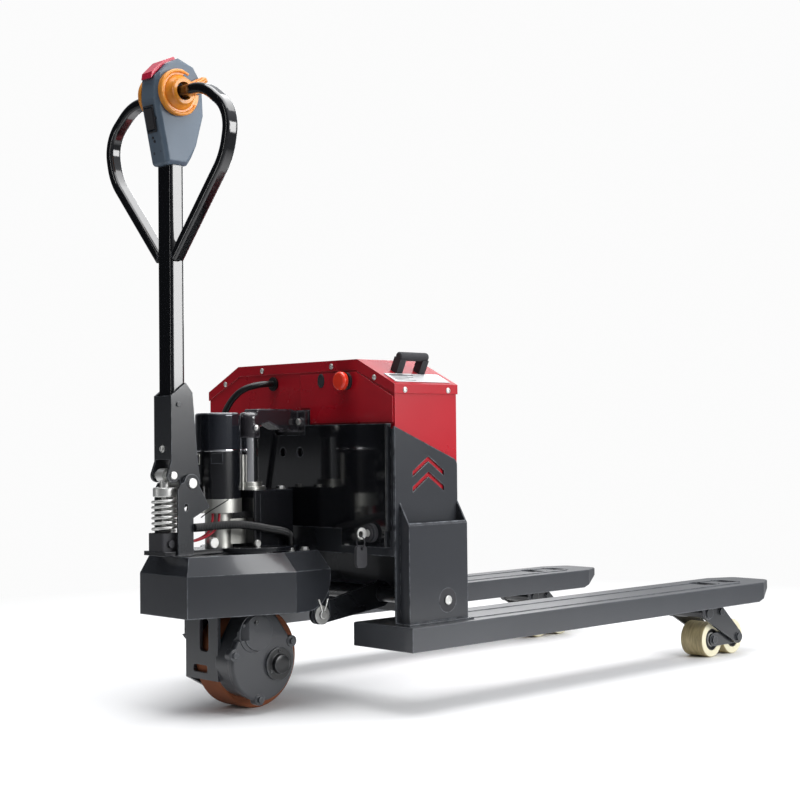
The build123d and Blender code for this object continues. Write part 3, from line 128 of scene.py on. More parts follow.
def linear(red: int, green: int, blue: int) -> tuple[float, float, float, float]:
    """A display colour, 0 to 255, as linear light.

    Returns:
        Red, green, blue and alpha.
    """
    def channel(value: int) -> float:
        """One channel of it."""
        share = value / 255
        return share / 12.92 if share <= 0.04045 else ((share + 0.055) / 1.055) ** 2.4

    return channel(red), channel(green), channel(blue), 1.0


# ------------------------------------------------------------------ materials

DUST = (0.42, 0.41, 0.39, 1.0)
SCUFFED_TREAD = (0.30, 0.25, 0.13, 1.0)
ROLLER_FACE = linear(218, 212, 184)
SEAL_BLACK = (0.012, 0.012, 0.013, 1.0)
HUB_BRIGHT = (0.62, 0.62, 0.60, 1.0)


class Shading:
    """A node tree with short calls for its nodes and links."""

    def __init__(self, tree: bpy.types.NodeTree) -> None:
        """Starts from an empty tree."""
        self.tree = tree
        tree.nodes.clear()

    def node(self, kind: str, sockets: dict | None = None, **settings: object) -> bpy.types.Node:
        """Adds a node.

        Args:
            kind: the node's type, without the ShaderNode prefix or as a whole name.
            sockets: values or links for its inputs, by name or number.
            settings: its properties.

        Returns:
            The node.
        """
        made = self.tree.nodes.new(kind if kind.startswith("Node") else "ShaderNode" + kind)
        for name, value in settings.items():
            setattr(made, name, value)
        for name, value in (sockets or {}).items():
            if isinstance(value, bpy.types.NodeSocket):
                self.tree.links.new(value, made.inputs[name])
            else:
                made.inputs[name].default_value = value
        return made

    def math(self, operation: str, first: object, second: object = 0.0) -> bpy.types.NodeSocket:
        """The result of a Math node, kept between 0 and 1."""
        made = self.node("Math", {0: first, 1: second}, operation=operation, use_clamp=True)
        return made.outputs[0]

    def noise(self, scale: object, detail: float = 3.0, stretch: tuple = ()) -> bpy.types.NodeSocket:
        """Noise on the piece's own coordinates, from 0 to 1."""
        where = self.node("TexCoord").outputs["Object"]
        if stretch:
            where = self.node("Mapping", {"Vector": where, "Scale": stretch}).outputs[0]
        return self.node("TexNoise", {"Vector": where, "Scale": scale, "Detail": detail}).outputs[0]

    def ramp(self, value: object, low: float, high: float) -> bpy.types.NodeSocket:
        """The value spread from 0 at low to 1 at high."""
        return self.node("MapRange", {0: value, 1: low, 2: high}).outputs[0]

    def mix(self, share: object, first: object, second: object) -> bpy.types.NodeSocket:
        """A colour between two."""
        made = self.node("Mix", data_type="RGBA")
        for index, value in ((0, share), (6, first), (7, second)):
            if isinstance(value, bpy.types.NodeSocket):
                self.tree.links.new(value, made.inputs[index])
            else:
                made.inputs[index].default_value = value
        return made.outputs[2]


def new_group(name: str, inputs: dict[str, float],
              outputs: dict[str, str]) -> tuple[Shading, bpy.types.Node, bpy.types.Node]:
    """Starts a shader node group.

    Args:
        name: the group's name.
        inputs: its float inputs and their values.
        outputs: its outputs and their socket types.

    Returns:
        The tree, its input node and its output node.
    """
    tree = bpy.data.node_groups.new(name, "ShaderNodeTree")
    for label, value in inputs.items():
        socket = tree.interface.new_socket(label, in_out="INPUT", socket_type="NodeSocketFloat")
        socket.default_value = value
    for label, kind in outputs.items():
        tree.interface.new_socket(label, in_out="OUTPUT", socket_type=kind)
    shading = Shading(tree)
    return shading, shading.node("NodeGroupInput"), shading.node("NodeGroupOutput")


def grain_group() -> bpy.types.NodeTree:
    """Fine relief and uneven gloss over rounded edges.

    Returns:
        The group, with a Roughness and a Normal output.
    """
    inputs = {"Grain": 900.0, "Depth": 0.00002, "Roughness": 0.4, "Uneven": 0.1, "Edge": 0.001}
    outputs = {"Roughness": "NodeSocketFloat", "Normal": "NodeSocketVector"}
    group, given, out = new_group("grain", inputs, outputs)
    rounded = group.node("Bevel", {"Radius": given.outputs["Edge"]}, samples=6)
    fine = group.noise(given.outputs["Grain"], 4.0)
    relief = {"Height": fine, "Distance": given.outputs["Depth"], "Normal": rounded.outputs[0]}
    bump = group.node("Bump", relief)
    cloud = group.node("Math", {0: group.noise(9.0, 5.0), 1: 0.5}, operation="SUBTRACT")
    spread = {0: cloud.outputs[0], 1: given.outputs["Uneven"], 2: given.outputs["Roughness"]}
    swing = group.node("Math", spread, operation="MULTIPLY_ADD", use_clamp=True)
    group.tree.links.new(swing.outputs[0], out.inputs["Roughness"])
    group.tree.links.new(bump.outputs[0], out.inputs["Normal"])
    return group.tree


def wear_and_highlight_group() -> bpy.types.NodeTree:
    """Masks for rubbed edges, which also carry a painted edge highlight, and for dust on upward faces.

    Returns:
        The group, with an Edges and a Dust output.
    """
    outputs = {"Edges": "NodeSocketFloat", "Dust": "NodeSocketFloat"}
    group, given, out = new_group("wear", {"Edge": 0.002, "Wear": 0.3, "Dust": 0.1}, outputs)
    flat = group.node("NewGeometry").outputs["Normal"]
    rounded = group.node("Bevel", {"Radius": given.outputs["Edge"]}, samples=6).outputs[0]
    facing = group.node("VectorMath", {0: flat, 1: rounded}, operation="DOT_PRODUCT").outputs["Value"]
    # The edge mask lightens rounded edges: partly rubbed paint, partly a painted highlight along the bends.
    corner = group.ramp(facing, 0.998, 0.9)
    patchy = group.ramp(group.noise(60.0, 6.0), 0.35, 0.6)
    edges = group.math("MULTIPLY", group.math("MULTIPLY", corner, patchy), given.outputs["Wear"])
    upward = group.ramp(group.node("SeparateXYZ", {0: flat}).outputs[2], 0.5, 1.0)
    settled = group.math("MULTIPLY", upward, group.ramp(group.noise(14.0, 8.0), 0.3, 0.75))
    group.tree.links.new(edges, out.inputs["Edges"])
    group.tree.links.new(group.math("MULTIPLY", settled, given.outputs["Dust"]), out.inputs["Dust"])
    return group.tree


def zones_group() -> bpy.types.NodeTree:
    """Distance from an axle that runs along Y, for pieces with a ring of another colour.

    Returns:
        The group, with a Radius output.
    """
    inputs = {"Axle X": 0.0, "Axle Z": 0.0}
    group, given, out = new_group("axle_radius", inputs, {"Radius": "NodeSocketFloat"})
    where = group.node("SeparateXYZ", {0: group.node("TexCoord").outputs["Object"]})
    off_axle = {}
    for index, label in ((0, "Axle X"), (2, "Axle Z")):
        given_place = {0: where.outputs[index], 1: given.outputs[label]}
        off_axle[index] = group.node("Math", given_place, operation="SUBTRACT").outputs[0]
    flat = group.node("CombineXYZ", off_axle).outputs[0]
    length = group.node("VectorMath", {0: flat}, operation="LENGTH").outputs["Value"]
    group.tree.links.new(length, out.inputs["Radius"])
    return group.tree


@dataclass(frozen=True)
class Finish:
    """A surface: its colour, gloss, grain, rubbed edges with a painted edge highlight, and dust.

    Args:
        name: the material's name.
        colour: linear colour.
        rough: roughness.
        metal: 1 for bare metal.
        coat: weight of a clear coat.
        grain: noise scale of the fine relief, per metre.
        depth: height of the fine relief.
        uneven: how much the roughness wanders.
        edge: radius that edges are rounded to.
        wear: how far edges are rubbed and lightened as a painted edge highlight.
        rubbed_and_highlight_colour: pale colour of a rubbed edge, also standing for a painted edge highlight.
        mottle: how far the colour wanders.
        dust: how much dust lies on upward faces.
    """

    name: str
    colour: tuple
    rough: float
    metal: float = 0.0
    coat: float = 0.0
    grain: float = 900.0
    depth: float = 0.00002
    uneven: float = 0.1
    edge: float = 0.001
    wear: float = 0.25
    rubbed_and_highlight_colour: tuple = (0.30, 0.31, 0.32, 1.0)
    mottle: float = 0.12
    dust: float = 0.05

    def groups(self, shading: Shading) -> tuple[bpy.types.Node, bpy.types.Node]:
        """Places the grain group and the group for rubbed edges, painted edge highlights and dust, with this
        finish's values.

        Returns:
            The two group nodes.
        """
        grain = shading.node("Group", node_tree=bpy.data.node_groups["grain"])
        for label, value in (("Grain", self.grain), ("Depth", self.depth), ("Roughness", self.rough),
                             ("Uneven", self.uneven), ("Edge", self.edge)):
            grain.inputs[label].default_value = value
        wear = shading.node("Group", node_tree=bpy.data.node_groups["wear"])
        for label, value in (("Edge", self.edge * 2), ("Wear", self.wear), ("Dust", self.dust)):
            wear.inputs[label].default_value = value
        return grain, wear

    def base(self, shading: Shading) -> object:
        """The clean colour, before wear and dust."""
        darker = tuple(c * (1 - self.mottle) for c in self.colour[:3]) + (1.0,)
        return shading.mix(shading.ramp(shading.noise(5.0, 6.0), 0.35, 0.65), darker, self.colour)

    def make(self) -> bpy.types.Material:
        """Builds the material, or gives the one already built."""
        found = bpy.data.materials.get(self.name)
        if found:
            return found
        material = bpy.data.materials.new(self.name)
        material.use_nodes = True
        shading = Shading(material.node_tree)
        grain, wear = self.groups(shading)
        # Edges turn pale: rubbed paint and a painted edge highlight in one colour.
        rubbed_and_highlighted = shading.mix(wear.outputs["Edges"], self.base(shading), self.rubbed_and_highlight_colour)
        dusty = shading.mix(wear.outputs["Dust"], rubbed_and_highlighted, DUST)
        surface = shading.node("BsdfPrincipled", {
            "Base Color": dusty, "Roughness": grain.outputs["Roughness"], "Normal": grain.outputs["Normal"],
            "Metallic": self.metal, "Coat Weight": self.coat, "Coat Roughness": 0.08,
        })
        shading.node("OutputMaterial", {"Surface": surface.outputs[0]})
        return material


@dataclass(frozen=True)
class RollerFinish(Finish):
    """A load roller's tread, pale face, black seal and bright hub.

    Args:
        axle_x: the axle's X.
        axle_z: the axle's height.
        radius: the roller's radius.
        seal: radius inside the pale face, where the black seal ends.
        hub: radius of the bright hub.
        blur: width over which one ring gives way to the next.
    """

    axle_x: float = 0.0
    axle_z: float = 0.04
    radius: float = 0.04
    seal: float = 0.0245
    hub: float = 0.0155
    blur: float = 0.0007

    def base(self, shading: Shading) -> object:
        """Rings of colour by the distance from the axle."""
        zones = shading.node("Group", {"Axle X": self.axle_x, "Axle Z": self.axle_z},
                             node_tree=bpy.data.node_groups["axle_radius"])
        distance = zones.outputs[0]
        scuffed = shading.ramp(shading.noise(40.0, 8.0, (1.0, 6.0, 1.0)), 0.3, 0.7)
        tread = shading.mix(scuffed, SCUFFED_TREAD, self.colour)
        rim = shading.ramp(distance, self.radius - 0.0012, self.radius - 0.0004)
        faced = shading.mix(rim, ROLLER_FACE, tread)
        sealed = shading.mix(shading.ramp(distance, self.seal, self.seal + self.blur), SEAL_BLACK, faced)
        return shading.mix(shading.ramp(distance, self.hub, self.hub + self.blur), HUB_BRIGHT, sealed)


# The pale edge colours below stand partly for rubbed paint and partly for painted edge highlights.
FRAME = Finish("frame_powder_coat", linear(47, 49, 53), 0.24, coat=0.45, depth=0.000012, edge=0.0016,
               wear=0.7, rubbed_and_highlight_colour=linear(122, 126, 132))
FORK = Finish("fork_powder_coat", linear(58, 60, 64), 0.30, coat=0.35, depth=0.000015, edge=0.0018, wear=0.5,
              dust=0.1, rubbed_and_highlight_colour=linear(120, 124, 130))
GUARD = Finish("guard_powder_coat", linear(44, 46, 50), 0.2, coat=0.5, depth=0.000012, edge=0.0016, wear=0.8,
               rubbed_and_highlight_colour=linear(132, 136, 142))
COVER = Finish("cover_gloss", linear(16, 17, 20), 0.08, coat=0.6, depth=0.000003, grain=300.0, edge=0.0018,
               wear=0.7, rubbed_and_highlight_colour=linear(110, 114, 120))
RED = Finish("box_red_enamel", linear(168, 8, 28), 0.28, coat=0.3, depth=0.00001, edge=0.0014, wear=0.35,
             rubbed_and_highlight_colour=linear(222, 62, 76), mottle=0.06, dust=0.02)
ZINC = Finish("bright_zinc", linear(205, 205, 200), 0.22, metal=1.0, grain=1500.0, uneven=0.25, wear=0.0)
MOULDED = Finish("moulded_black", linear(17, 17, 19), 0.34, grain=2200.0, depth=0.00003, wear=0.3,
                 rubbed_and_highlight_colour=linear(70, 70, 72))
STOP = Finish("stop_red_plastic", linear(240, 62, 38), 0.16, coat=0.5, depth=0.000004, wear=0.3,
              rubbed_and_highlight_colour=linear(255, 170, 140), dust=0.0)
CASE = Finish("battery_case", linear(60, 62, 66), 0.5, grain=1800.0, depth=0.00004)
RUBBER = Finish("cable_rubber", linear(14, 15, 17), 0.32, grain=1400.0, depth=0.00002, wear=0.0, dust=0.02)
FORGING = Finish("painted_forging", linear(40, 38, 42), 0.1, coat=0.8, grain=180.0, depth=0.00012,
                 edge=0.004, wear=0.4, rubbed_and_highlight_colour=linear(120, 118, 124))
CHROME = Finish("hard_chrome", linear(222, 222, 226), 0.06, metal=1.0, grain=600.0, depth=0.000002,
                uneven=0.05, wear=0.0, mottle=0.03, dust=0.0)
PUMP_BLACK = Finish("pump_black_paint", linear(13, 14, 18), 0.22, coat=0.35, depth=0.00001, edge=0.0016,
                    wear=0.5, rubbed_and_highlight_colour=linear(76, 80, 88))
CAP = Finish("smoked_cap", linear(46, 49, 56), 0.07, metal=0.6, coat=0.8, depth=0.000002, grain=300.0,
             wear=0.3)
ALUMINIUM = Finish("turned_aluminium", linear(196, 196, 190), 0.36, metal=1.0, grain=1200.0, uneven=0.2,
                   wear=0.0)
STEEL = Finish("bearing_steel", linear(150, 150, 150), 0.3, metal=1.0, wear=0.0)
POST = Finish("post_powder_coat", linear(38, 40, 43), 0.26, coat=0.3, edge=0.0012, wear=0.7,
              rubbed_and_highlight_colour=linear(120, 124, 130))
CASTING = Finish("painted_casting", linear(42, 44, 48), 0.34, grain=520.0, depth=0.00022, edge=0.0025,
                 wear=0.35, coat=0.25, rubbed_and_highlight_colour=linear(96, 100, 106))
CAST_BLACK = Finish("black_casting", linear(16, 17, 19), 0.3, grain=520.0, depth=0.0001, edge=0.002, wear=0.3)
TREAD = Finish("drive_tread", linear(112, 58, 30), 0.4, grain=260.0, depth=0.0001, edge=0.003, wear=0.0,
               mottle=0.4)
TUBE = Finish("tiller_gloss", linear(14, 15, 18), 0.09, coat=0.7, depth=0.000004, grain=300.0, edge=0.003,
              wear=0.5, dust=0.0, rubbed_and_highlight_colour=linear(96, 100, 108))
HEAD = Finish("head_moulding", linear(88, 104, 120), 0.42, grain=1600.0, depth=0.00003, edge=0.004, wear=0.35,
              rubbed_and_highlight_colour=linear(150, 162, 174), dust=0.0)
PADDLE = Finish("paddle_orange", linear(232, 146, 48), 0.24, coat=0.4, grain=900.0, depth=0.00001,
                edge=0.0025, wear=0.4, rubbed_and_highlight_colour=linear(255, 214, 156), dust=0.0)
BUTTON = Finish("button_crimson", linear(196, 22, 58), 0.2, coat=0.5, depth=0.000005, edge=0.0015, wear=0.4,
                rubbed_and_highlight_colour=linear(250, 130, 150), dust=0.0)
LINKAGE = Finish("linkage_paint", linear(36, 38, 41), 0.28, coat=0.25, grain=400.0, depth=0.00005, wear=0.7,
                 rubbed_and_highlight_colour=linear(126, 130, 136))
LABEL = Finish("label_film", linear(200, 201, 202), 0.3, wear=0.0, mottle=0.04, edge=0.0003)
LEAD = Finish("lead_red", linear(176, 22, 44), 0.3, wear=0.0, dust=0.0)

NODE_FINISHES: dict[Finish, tuple[str, ...]] = {
    FRAME: ("side_plates", "side_bins", "bulkhead", "rear_panel"),
    FORK: ("fork_left", "fork_right"),
    GUARD: ("guard", "carriage_plate"),
    COVER: ("front_cover",),
    RED: ("battery_box", "battery_lid", "switch_panel"),
    ZINC: ("box_screws", "tiller_pins", "strut_rod", "tiller_spring", "key"),
    MOULDED: ("shaft_bushes", "battery_handle", "stop_base", "key_fob", "rocker_switch", "controller",
              "strut_foot", "key_lock"),
    STOP: ("stop_button",),
    CASE: ("battery_pack",),
    RUBBER: ("cable_grommet", "cable_gland", "main_cable", "harness"),
    FORGING: ("head_bracket",),
    CHROME: ("ram",),
    PUMP_BLACK: ("oil_tank", "pump_motor", "turntable"),
    CAP: ("motor_cap",),
    ALUMINIUM: ("pump", "lift_cylinder"),
    STEEL: ("slewing_ring",),
    POST: ("tiller_posts", "tiller_cheeks"),
    CASTING: ("gearbox_case", "gearbox_cover", "traction_motor", "wheel_hub"),
    TREAD: ("wheel_tyre",),
    TUBE: ("tiller_tube", "handle_loops"),
    HEAD: ("tiller_head",),
    PADDLE: ("throttle",),
    BUTTON: ("head_button",),
    LINKAGE: ("lift_rocker", "push_rods", "roller_arms", "bogies"),
}


def dress_nodes(frame: dict) -> None:
    """Gives every CAD node its finish.
    """
    for finish, names in NODE_FINISHES.items():
        for name in names:
            dress(frame["nodes"][name], finish)
    for name, node in frame["nodes"].items():
        if name.startswith(("roller_front", "roller_rear")):
            low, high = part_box(name)
            finish = RollerFinish(name + "_finish", linear(196, 180, 136), 0.5, grain=700.0, depth=0.00005,
                                  edge=0.001, wear=0.0, axle_x=(low.x + high.x) / 2,
                                  axle_z=(low.z + high.z) / 2, radius=(high.z - low.z) / 2)
            dress(node, finish)


def dress(piece: bpy.types.Object, finish: Finish) -> None:
    """Replaces a piece's materials with one finish."""
    piece.data.materials.clear()
    piece.data.materials.append(finish.make())


# --------------------------------------------------------------------- meshes


class Piece:
    """A mesh under construction in the row frame, in metres."""

    def __init__(self, name: str) -> None:
        """Starts an empty mesh for a piece of that name."""
        self.name = name
        self.bm = bmesh.new()

    @staticmethod
    def facing(origin: Vector, axis: Vector) -> Matrix:
        """A frame at origin whose Z is the axis."""
        return Matrix.Translation(origin) @ axis.to_track_quat("Z", "Y").to_matrix().to_4x4()

    def turned(self, origin: Vector, axis: Vector, profile: tuple, steps: int = 32) -> None:
        """Adds a round solid, spun from a profile.

        Args:
            origin: the profile's zero.
            axis: the direction of the profile's first number.
            profile: (distance along the axis, radius) pairs in millimetres, from end to end.
            steps: faces round it.
        """
        frame = self.facing(origin, axis)
        verts = [self.bm.verts.new(frame @ Vector((r * MM, 0, a * MM))) for a, r in profile]
        edges = [self.bm.edges.new(pair) for pair in zip(verts, verts[1:])]
        bmesh.ops.spin(self.bm, geom=verts + edges, cent=origin, axis=axis, angle=math.tau, steps=steps,
                       use_merge=True)
        bmesh.ops.remove_doubles(self.bm, verts=self.bm.verts, dist=1e-6)

    def hexagon(self, origin: Vector, axis: Vector, across: float, height: float) -> None:
        """Adds a bolt head with a chamfered top on a washer.

        Args:
            origin: centre of the seat.
            axis: the way the head stands.
            across: size across flats, in millimetres.
            height: the head's height, in millimetres.
        """
        washer = 1.4
        self.turned(origin, axis, ((0, 0), (0, across * 0.72), (1.0, across * 0.75), (washer, across * 0.70),
                                   (washer, 0)))
        radius = across / math.sqrt(3) * MM
        middle = origin + axis * (washer + height / 2) * MM
        head = bmesh.ops.create_cone(self.bm, cap_ends=True, segments=6, radius1=radius, radius2=radius,
                                     depth=height * MM, matrix=self.facing(middle, axis))
        top = [e for e in {e for v in head["verts"] for e in v.link_edges}
               if all((v.co - middle).dot(axis) > 0 for v in e.verts)]
        bmesh.ops.bevel(self.bm, geom=top, offset=height * 0.16 * MM, affect="EDGES", segments=2, profile=0.5,
                        material=-1)

    def socket_head(self, origin: Vector, axis: Vector, across: float, height: float) -> None:
        """Adds a domed round head with a driver recess."""
        r = across / 2
        self.turned(origin, axis, (
            (0, 0), (0, r), (height * 0.35, r), (height * 0.75, r * 0.86), (height, r * 0.55),
            (height, r * 0.42), (height * 0.45, r * 0.34), (height * 0.4, 0),
        ), steps=24)

    def tube(self, points: list[Vector], radius: object, steps: int = 16) -> None:
        """Adds a closed tube along points.

        Args:
            points: its centreline.
            radius: metres, or a function of the point's number.
            steps: faces round it.
        """
        width = radius if callable(radius) else lambda _: radius
        upright = abs((points[1] - points[0]).normalized().z) >= 0.9
        across = Vector((1.0, 0.0, 0.0)) if upright else Vector((0.0, 0.0, 1.0))
        loops = []
        for index, point in enumerate(points):
            ahead = (points[min(index + 1, len(points) - 1)] - points[max(index - 1, 0)]).normalized()
            across = (across - ahead * across.dot(ahead)).normalized()
            turn = Matrix((across, ahead.cross(across), ahead)).transposed().to_4x4()
            ring = bmesh.ops.create_circle(self.bm, cap_ends=index in (0, len(points) - 1), segments=steps,
                                           radius=width(index), matrix=Matrix.Translation(point) @ turn)
            loops.append(list({e for v in ring["verts"] for e in v.link_edges}))
        for first, second in zip(loops, loops[1:]):
            bmesh.ops.bridge_loops(self.bm, edges=first + second)

    def plate(self, corners: list[Vector], depth: Vector, bevel: float = 0.0) -> None:
        """Adds a flat plate.

        Args:
            corners: its outline on one face.
            depth: from that face to the other.
            bevel: radius of its edges, in metres.
        """
        face = self.bm.faces.new([self.bm.verts.new(c) for c in corners])
        grown = bmesh.ops.extrude_face_region(self.bm, geom=[face])
        moved = [v for v in grown["geom"] if isinstance(v, bmesh.types.BMVert)]
        bmesh.ops.translate(self.bm, verts=moved, vec=depth)
        if bevel:
            edges = list({e for v in list(face.verts) + moved for e in v.link_edges})
            bmesh.ops.bevel(self.bm, geom=edges, offset=bevel, affect="EDGES", segments=3, profile=0.5,
                            material=-1)

    def window(self, centre: Vector, across: Vector, up: Vector, rim: float, depth: Vector,
               bevel: float) -> None:
        """Adds a flat rectangular frame of four bars.

        Args:
            centre: the middle of its back face.
            across: from the centre to one side's outer edge.
            up: from the centre to the upper edge.
            rim: width of the bars, in metres.
            depth: from the back face to the front one.
            bevel: radius of its edges, in metres.
        """
        corners = ((-1, -1), (1, -1), (1, 1), (-1, 1))
        for sign in (-1, 1):
            for toward, along in ((across, up), (up, across)):
                half = toward.normalized() * rim / 2
                middle = centre + (toward - half) * sign
                self.plate([middle + along * a + half * b for a, b in corners], depth, bevel)

    def done(self, body: str, slot: str, finish: Finish, crease: float = 35.0) -> bpy.types.Object:
        """Makes the object, shades it and rides it on a body.

        Args:
            body: the CAD body it moves with.
            slot: not used.
            finish: its surface.
            crease: angle in degrees above which an edge stays sharp.

        Returns:
            The object.
        """
        made = self.made(slot, finish, crease)
        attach(made, body)
        LOG.info("%s rides on %s", self.name, body)
        return made

    def made(self, slot: str, finish: Finish, crease: float = 35.0) -> bpy.types.Object:
        """Makes the object and shades it."""
        bmesh.ops.recalc_face_normals(self.bm, faces=self.bm.faces)
        for face in self.bm.faces:
            face.smooth = True
        for edge in self.bm.edges:
            edge.smooth = edge.calc_face_angle(0.0) < math.radians(crease)
        mesh = bpy.data.meshes.new(self.name)
        self.bm.to_mesh(mesh)
        self.bm.free()
        made = bpy.data.objects.new(self.name, mesh)
        bpy.context.scene.collection.objects.link(made)
        dress(made, finish)
        return made


def smooth_line(route: tuple, fineness: int = 14) -> list[Vector]:
    """Points along a smooth line through a route.

    Args:
        route: control points, in millimetres from the chassis front, the middle and the floor.
        fineness: points from one control point to the next.

    Returns:
        Points of the NURBS line, in metres.
    """
    curve = bpy.data.curves.new("line", "CURVE")
    curve.dimensions = "3D"
    curve.resolution_u = fineness
    spline = curve.splines.new("NURBS")
    spline.points.add(len(route) - 1)
    for point, place in zip(spline.points, route):
        point.co = (*spot(*place), 1.0)
    spline.order_u = 3
    spline.use_endpoint_u = True
    holder = bpy.data.objects.new("line", curve)
    mesh = bpy.data.meshes.new_from_object(holder)
    points = [v.co.copy() for v in mesh.vertices]
    bpy.data.meshes.remove(mesh)
    bpy.data.objects.remove(holder)
    bpy.data.curves.remove(curve)
    return points


# ---------------------------------------------------------------- sub-assemblies


@dataclass
class PowerCable:
    """Cable from the battery box down to the carriage."""

    diameter: float = 13.0
    route: tuple = (
        (-2, 70, 624), (-30, 70, 624), (-64, 98, 610), (-84, 122, 566), (-84, 135, 510), (-76, 140, 450),
        (-65, 138, 397), (-56, 127, 354), (-54, 120, 338), (-54, 120, 310),
    )

    def build(self) -> None:
        """Builds the cable along its route."""
        points = smooth_line(self.route)
        piece = Piece("power_cable")
        piece.tube(points, self.diameter / 2 * MM, 20)
        cable = piece.made("rubber_black", RUBBER)
        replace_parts(cable, "main_cable")
        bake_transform(cable)
        LOG.info("power_cable bends between chassis and carriage")


@dataclass
class Harness:
    """Corrugated conduit and two red leads on the pump unit."""

    conduit_diameter: float = 16.0
    crests: tuple = (1.0, 1.0, 0.86)
    fineness: int = 30
    lead_diameter: float = 4.6
    conduit: tuple = (
        (-275, -40, 350), (-252, -40, 350), (-220, -54, 353), (-186, -65, 353), (-152, -71, 348),
        (-120, -72, 341), (-92, -69, 337), (-70, -64, 330), (-64, -62, 319), (-64, -62, 308),
    )
    leads: tuple = (
        ((-289, -13, 322), (-272, -13, 322), (-248, -24, 326), (-224, -33, 340), (-210, -30, 357),
         (-210, -30, 374)),
        ((-289, -4, 322), (-270, -4, 322), (-248, -13, 325), (-228, -22, 338), (-218, -20, 356),
         (-218, -20, 374)),
    )

    def build(self) -> None:
        """Builds the conduit and the leads."""
        crest = self.conduit_diameter / 2 * MM
        piece = Piece("corrugated_conduit")
        piece.tube(smooth_line(self.conduit, self.fineness), lambda index: crest * self.crests[index % 3], 14)
        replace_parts(piece.done("drive_unit", "rubber_black", RUBBER, 60.0), "harness")
        leads = Piece("red_leads")
        for route in self.leads:
            leads.tube(smooth_line(route), self.lead_diameter / 2 * MM, 12)
        leads.done("drive_unit", "button_crimson", LEAD)


@dataclass
class BatteryBox:
    """Fasteners, plug and label of the battery box."""

    screw_size: float = 11.0
    screw_height: float = 2.5
    front_screws: tuple = ((228, 628.4), (105, 652), (-110, 652), (-232, 626.5))
    side_screws: tuple = (30, 145)
    side_screw_z: float = 602.0
    plug_y: float = -80.0
    plug_z: float = 625.0
    plug_width: float = 19.0
    plug_height: float = 28.0
    plug_profile: tuple = ((0, 0), (0, 10), (1.6, 9.6), (2.2, 8.4), (1.0, 7.6), (0.8, 0))
    shoulder_rise: float = 50.0
    shoulder_run: float = 102.0
    shoulder_foot_z: float = 613.5
    label_reach: tuple = (14, 158)
    label_height: float = 38.0
    label_rise: float = 46.0
    label_sheet: float = 0.8
    bars: tuple = ((1.0, 4.5), (0.7, 2.0), (0.85, 2.0), (0.6, 2.0), (0.8, 2.0))
    bar_pitch: float = 6.4
    bar_length: float = 62.0

    def build(self) -> None:
        """Builds every piece."""
        self.screws()
        self.plug()
        self.label()

    def screws(self) -> None:
        """Domed screws in place of the plain heads."""
        piece = Piece("lid_screws")
        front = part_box("battery_lid")[0].x
        for y, z in self.front_screws:
            seat = Vector((front, y * MM, z * MM))
            piece.socket_head(seat, Way.FRONT.vector(), self.screw_size, self.screw_height)
        for side in Side:
            for x in self.side_screws:
                seat = spot(x, 0, self.side_screw_z)
                seat.y = side.face("battery_lid")
                piece.socket_head(seat, side.out(), self.screw_size, self.screw_height)
        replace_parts(piece.done("chassis", "bright_zinc", ZINC), "box_screws")

    def plug(self) -> None:
        """Oval blanking plug on the switch panel."""
        piece = Piece("blanking_plug")
        centre = Vector((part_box("switch_panel")[0].x, self.plug_y * MM, self.plug_z * MM))
        piece.turned(centre, Way.FRONT.vector(), self.plug_profile, 40)
        across = 2 * max(radius for _, radius in self.plug_profile)
        stretch = Matrix.Diagonal((1, self.plug_width / across, self.plug_height / across, 1))
        bmesh.ops.transform(piece.bm, matrix=stretch, space=Matrix.Translation(-centre), verts=piece.bm.verts)
        piece.done("chassis", "moulded_black", MOULDED)

    def label(self) -> None:
        """Plain data plate on the right shoulder, in front of and below the grip."""
        slope = math.atan2(self.shoulder_rise, self.shoulder_run)
        down = Vector((0, -math.cos(slope), -math.sin(slope)))
        normal = Vector((0, -math.sin(slope), math.cos(slope)))
        edge = Vector((0, Side.RIGHT.face("battery_lid"), self.shoulder_foot_z * MM))
        top = edge - down * self.label_rise * MM + normal * 0.2 * MM
        front, back = (spot(x, 0, 0).x for x in self.label_reach)
        piece = Piece("data_plate")
        self.strip(piece, top, down, (front, back), self.label_height, normal * self.label_sheet * MM, 0.0003)
        piece.done("chassis", "bright_zinc", LABEL)
        bars = Piece("data_plate_bars")
        left = front + 8 * MM
        for row, (share, height) in enumerate(self.bars):
            start = top + down * (5 + row * self.bar_pitch) * MM + normal * self.label_sheet * MM
            ends = (left, left + self.bar_length * share * MM)
            self.strip(bars, start, down, ends, height, normal * 0.15 * MM)
        bars.done("chassis", "bright_zinc", CASE)

    @staticmethod
    def strip(piece: Piece, start: Vector, down: Vector, ends: tuple[float, float], height: float,
              depth: Vector, bevel: float = 0.0) -> None:
        """Adds a flat strip that lies on the shoulder.

        Args:
            piece: the piece that it joins.
            start: a point on its upper edge, with an X of 0.
            down: the way down the shoulder.
            ends: the X of its two ends.
            height: how far it reaches down, in millimetres.
            depth: its thickness and the way that it stands.
            bevel: radius of its edges, in metres.
        """
        first, last = ends
        corners = ((first, 0), (last, 0), (last, height), (first, height))
        piece.plate([Vector((x, 0, 0)) + start + down * along * MM for x, along in corners], depth, bevel)


@dataclass
class Guard:
    """Bolts on the sheet guard."""

    bolts: tuple = ((-84, -84), (-50, -88), (-84, 84))
    across: float = 13.0
    height: float = 5.0

    def build(self) -> None:
        """Builds the bolts."""
        piece = Piece("guard_bolts")
        for x, y in self.bolts:
            place = spot(x, y, 0)
            place.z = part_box("guard")[1].z
            piece.hexagon(place, Way.UP.vector(), self.across, self.height)
        piece.done("carriage", "bright_zinc", ZINC)


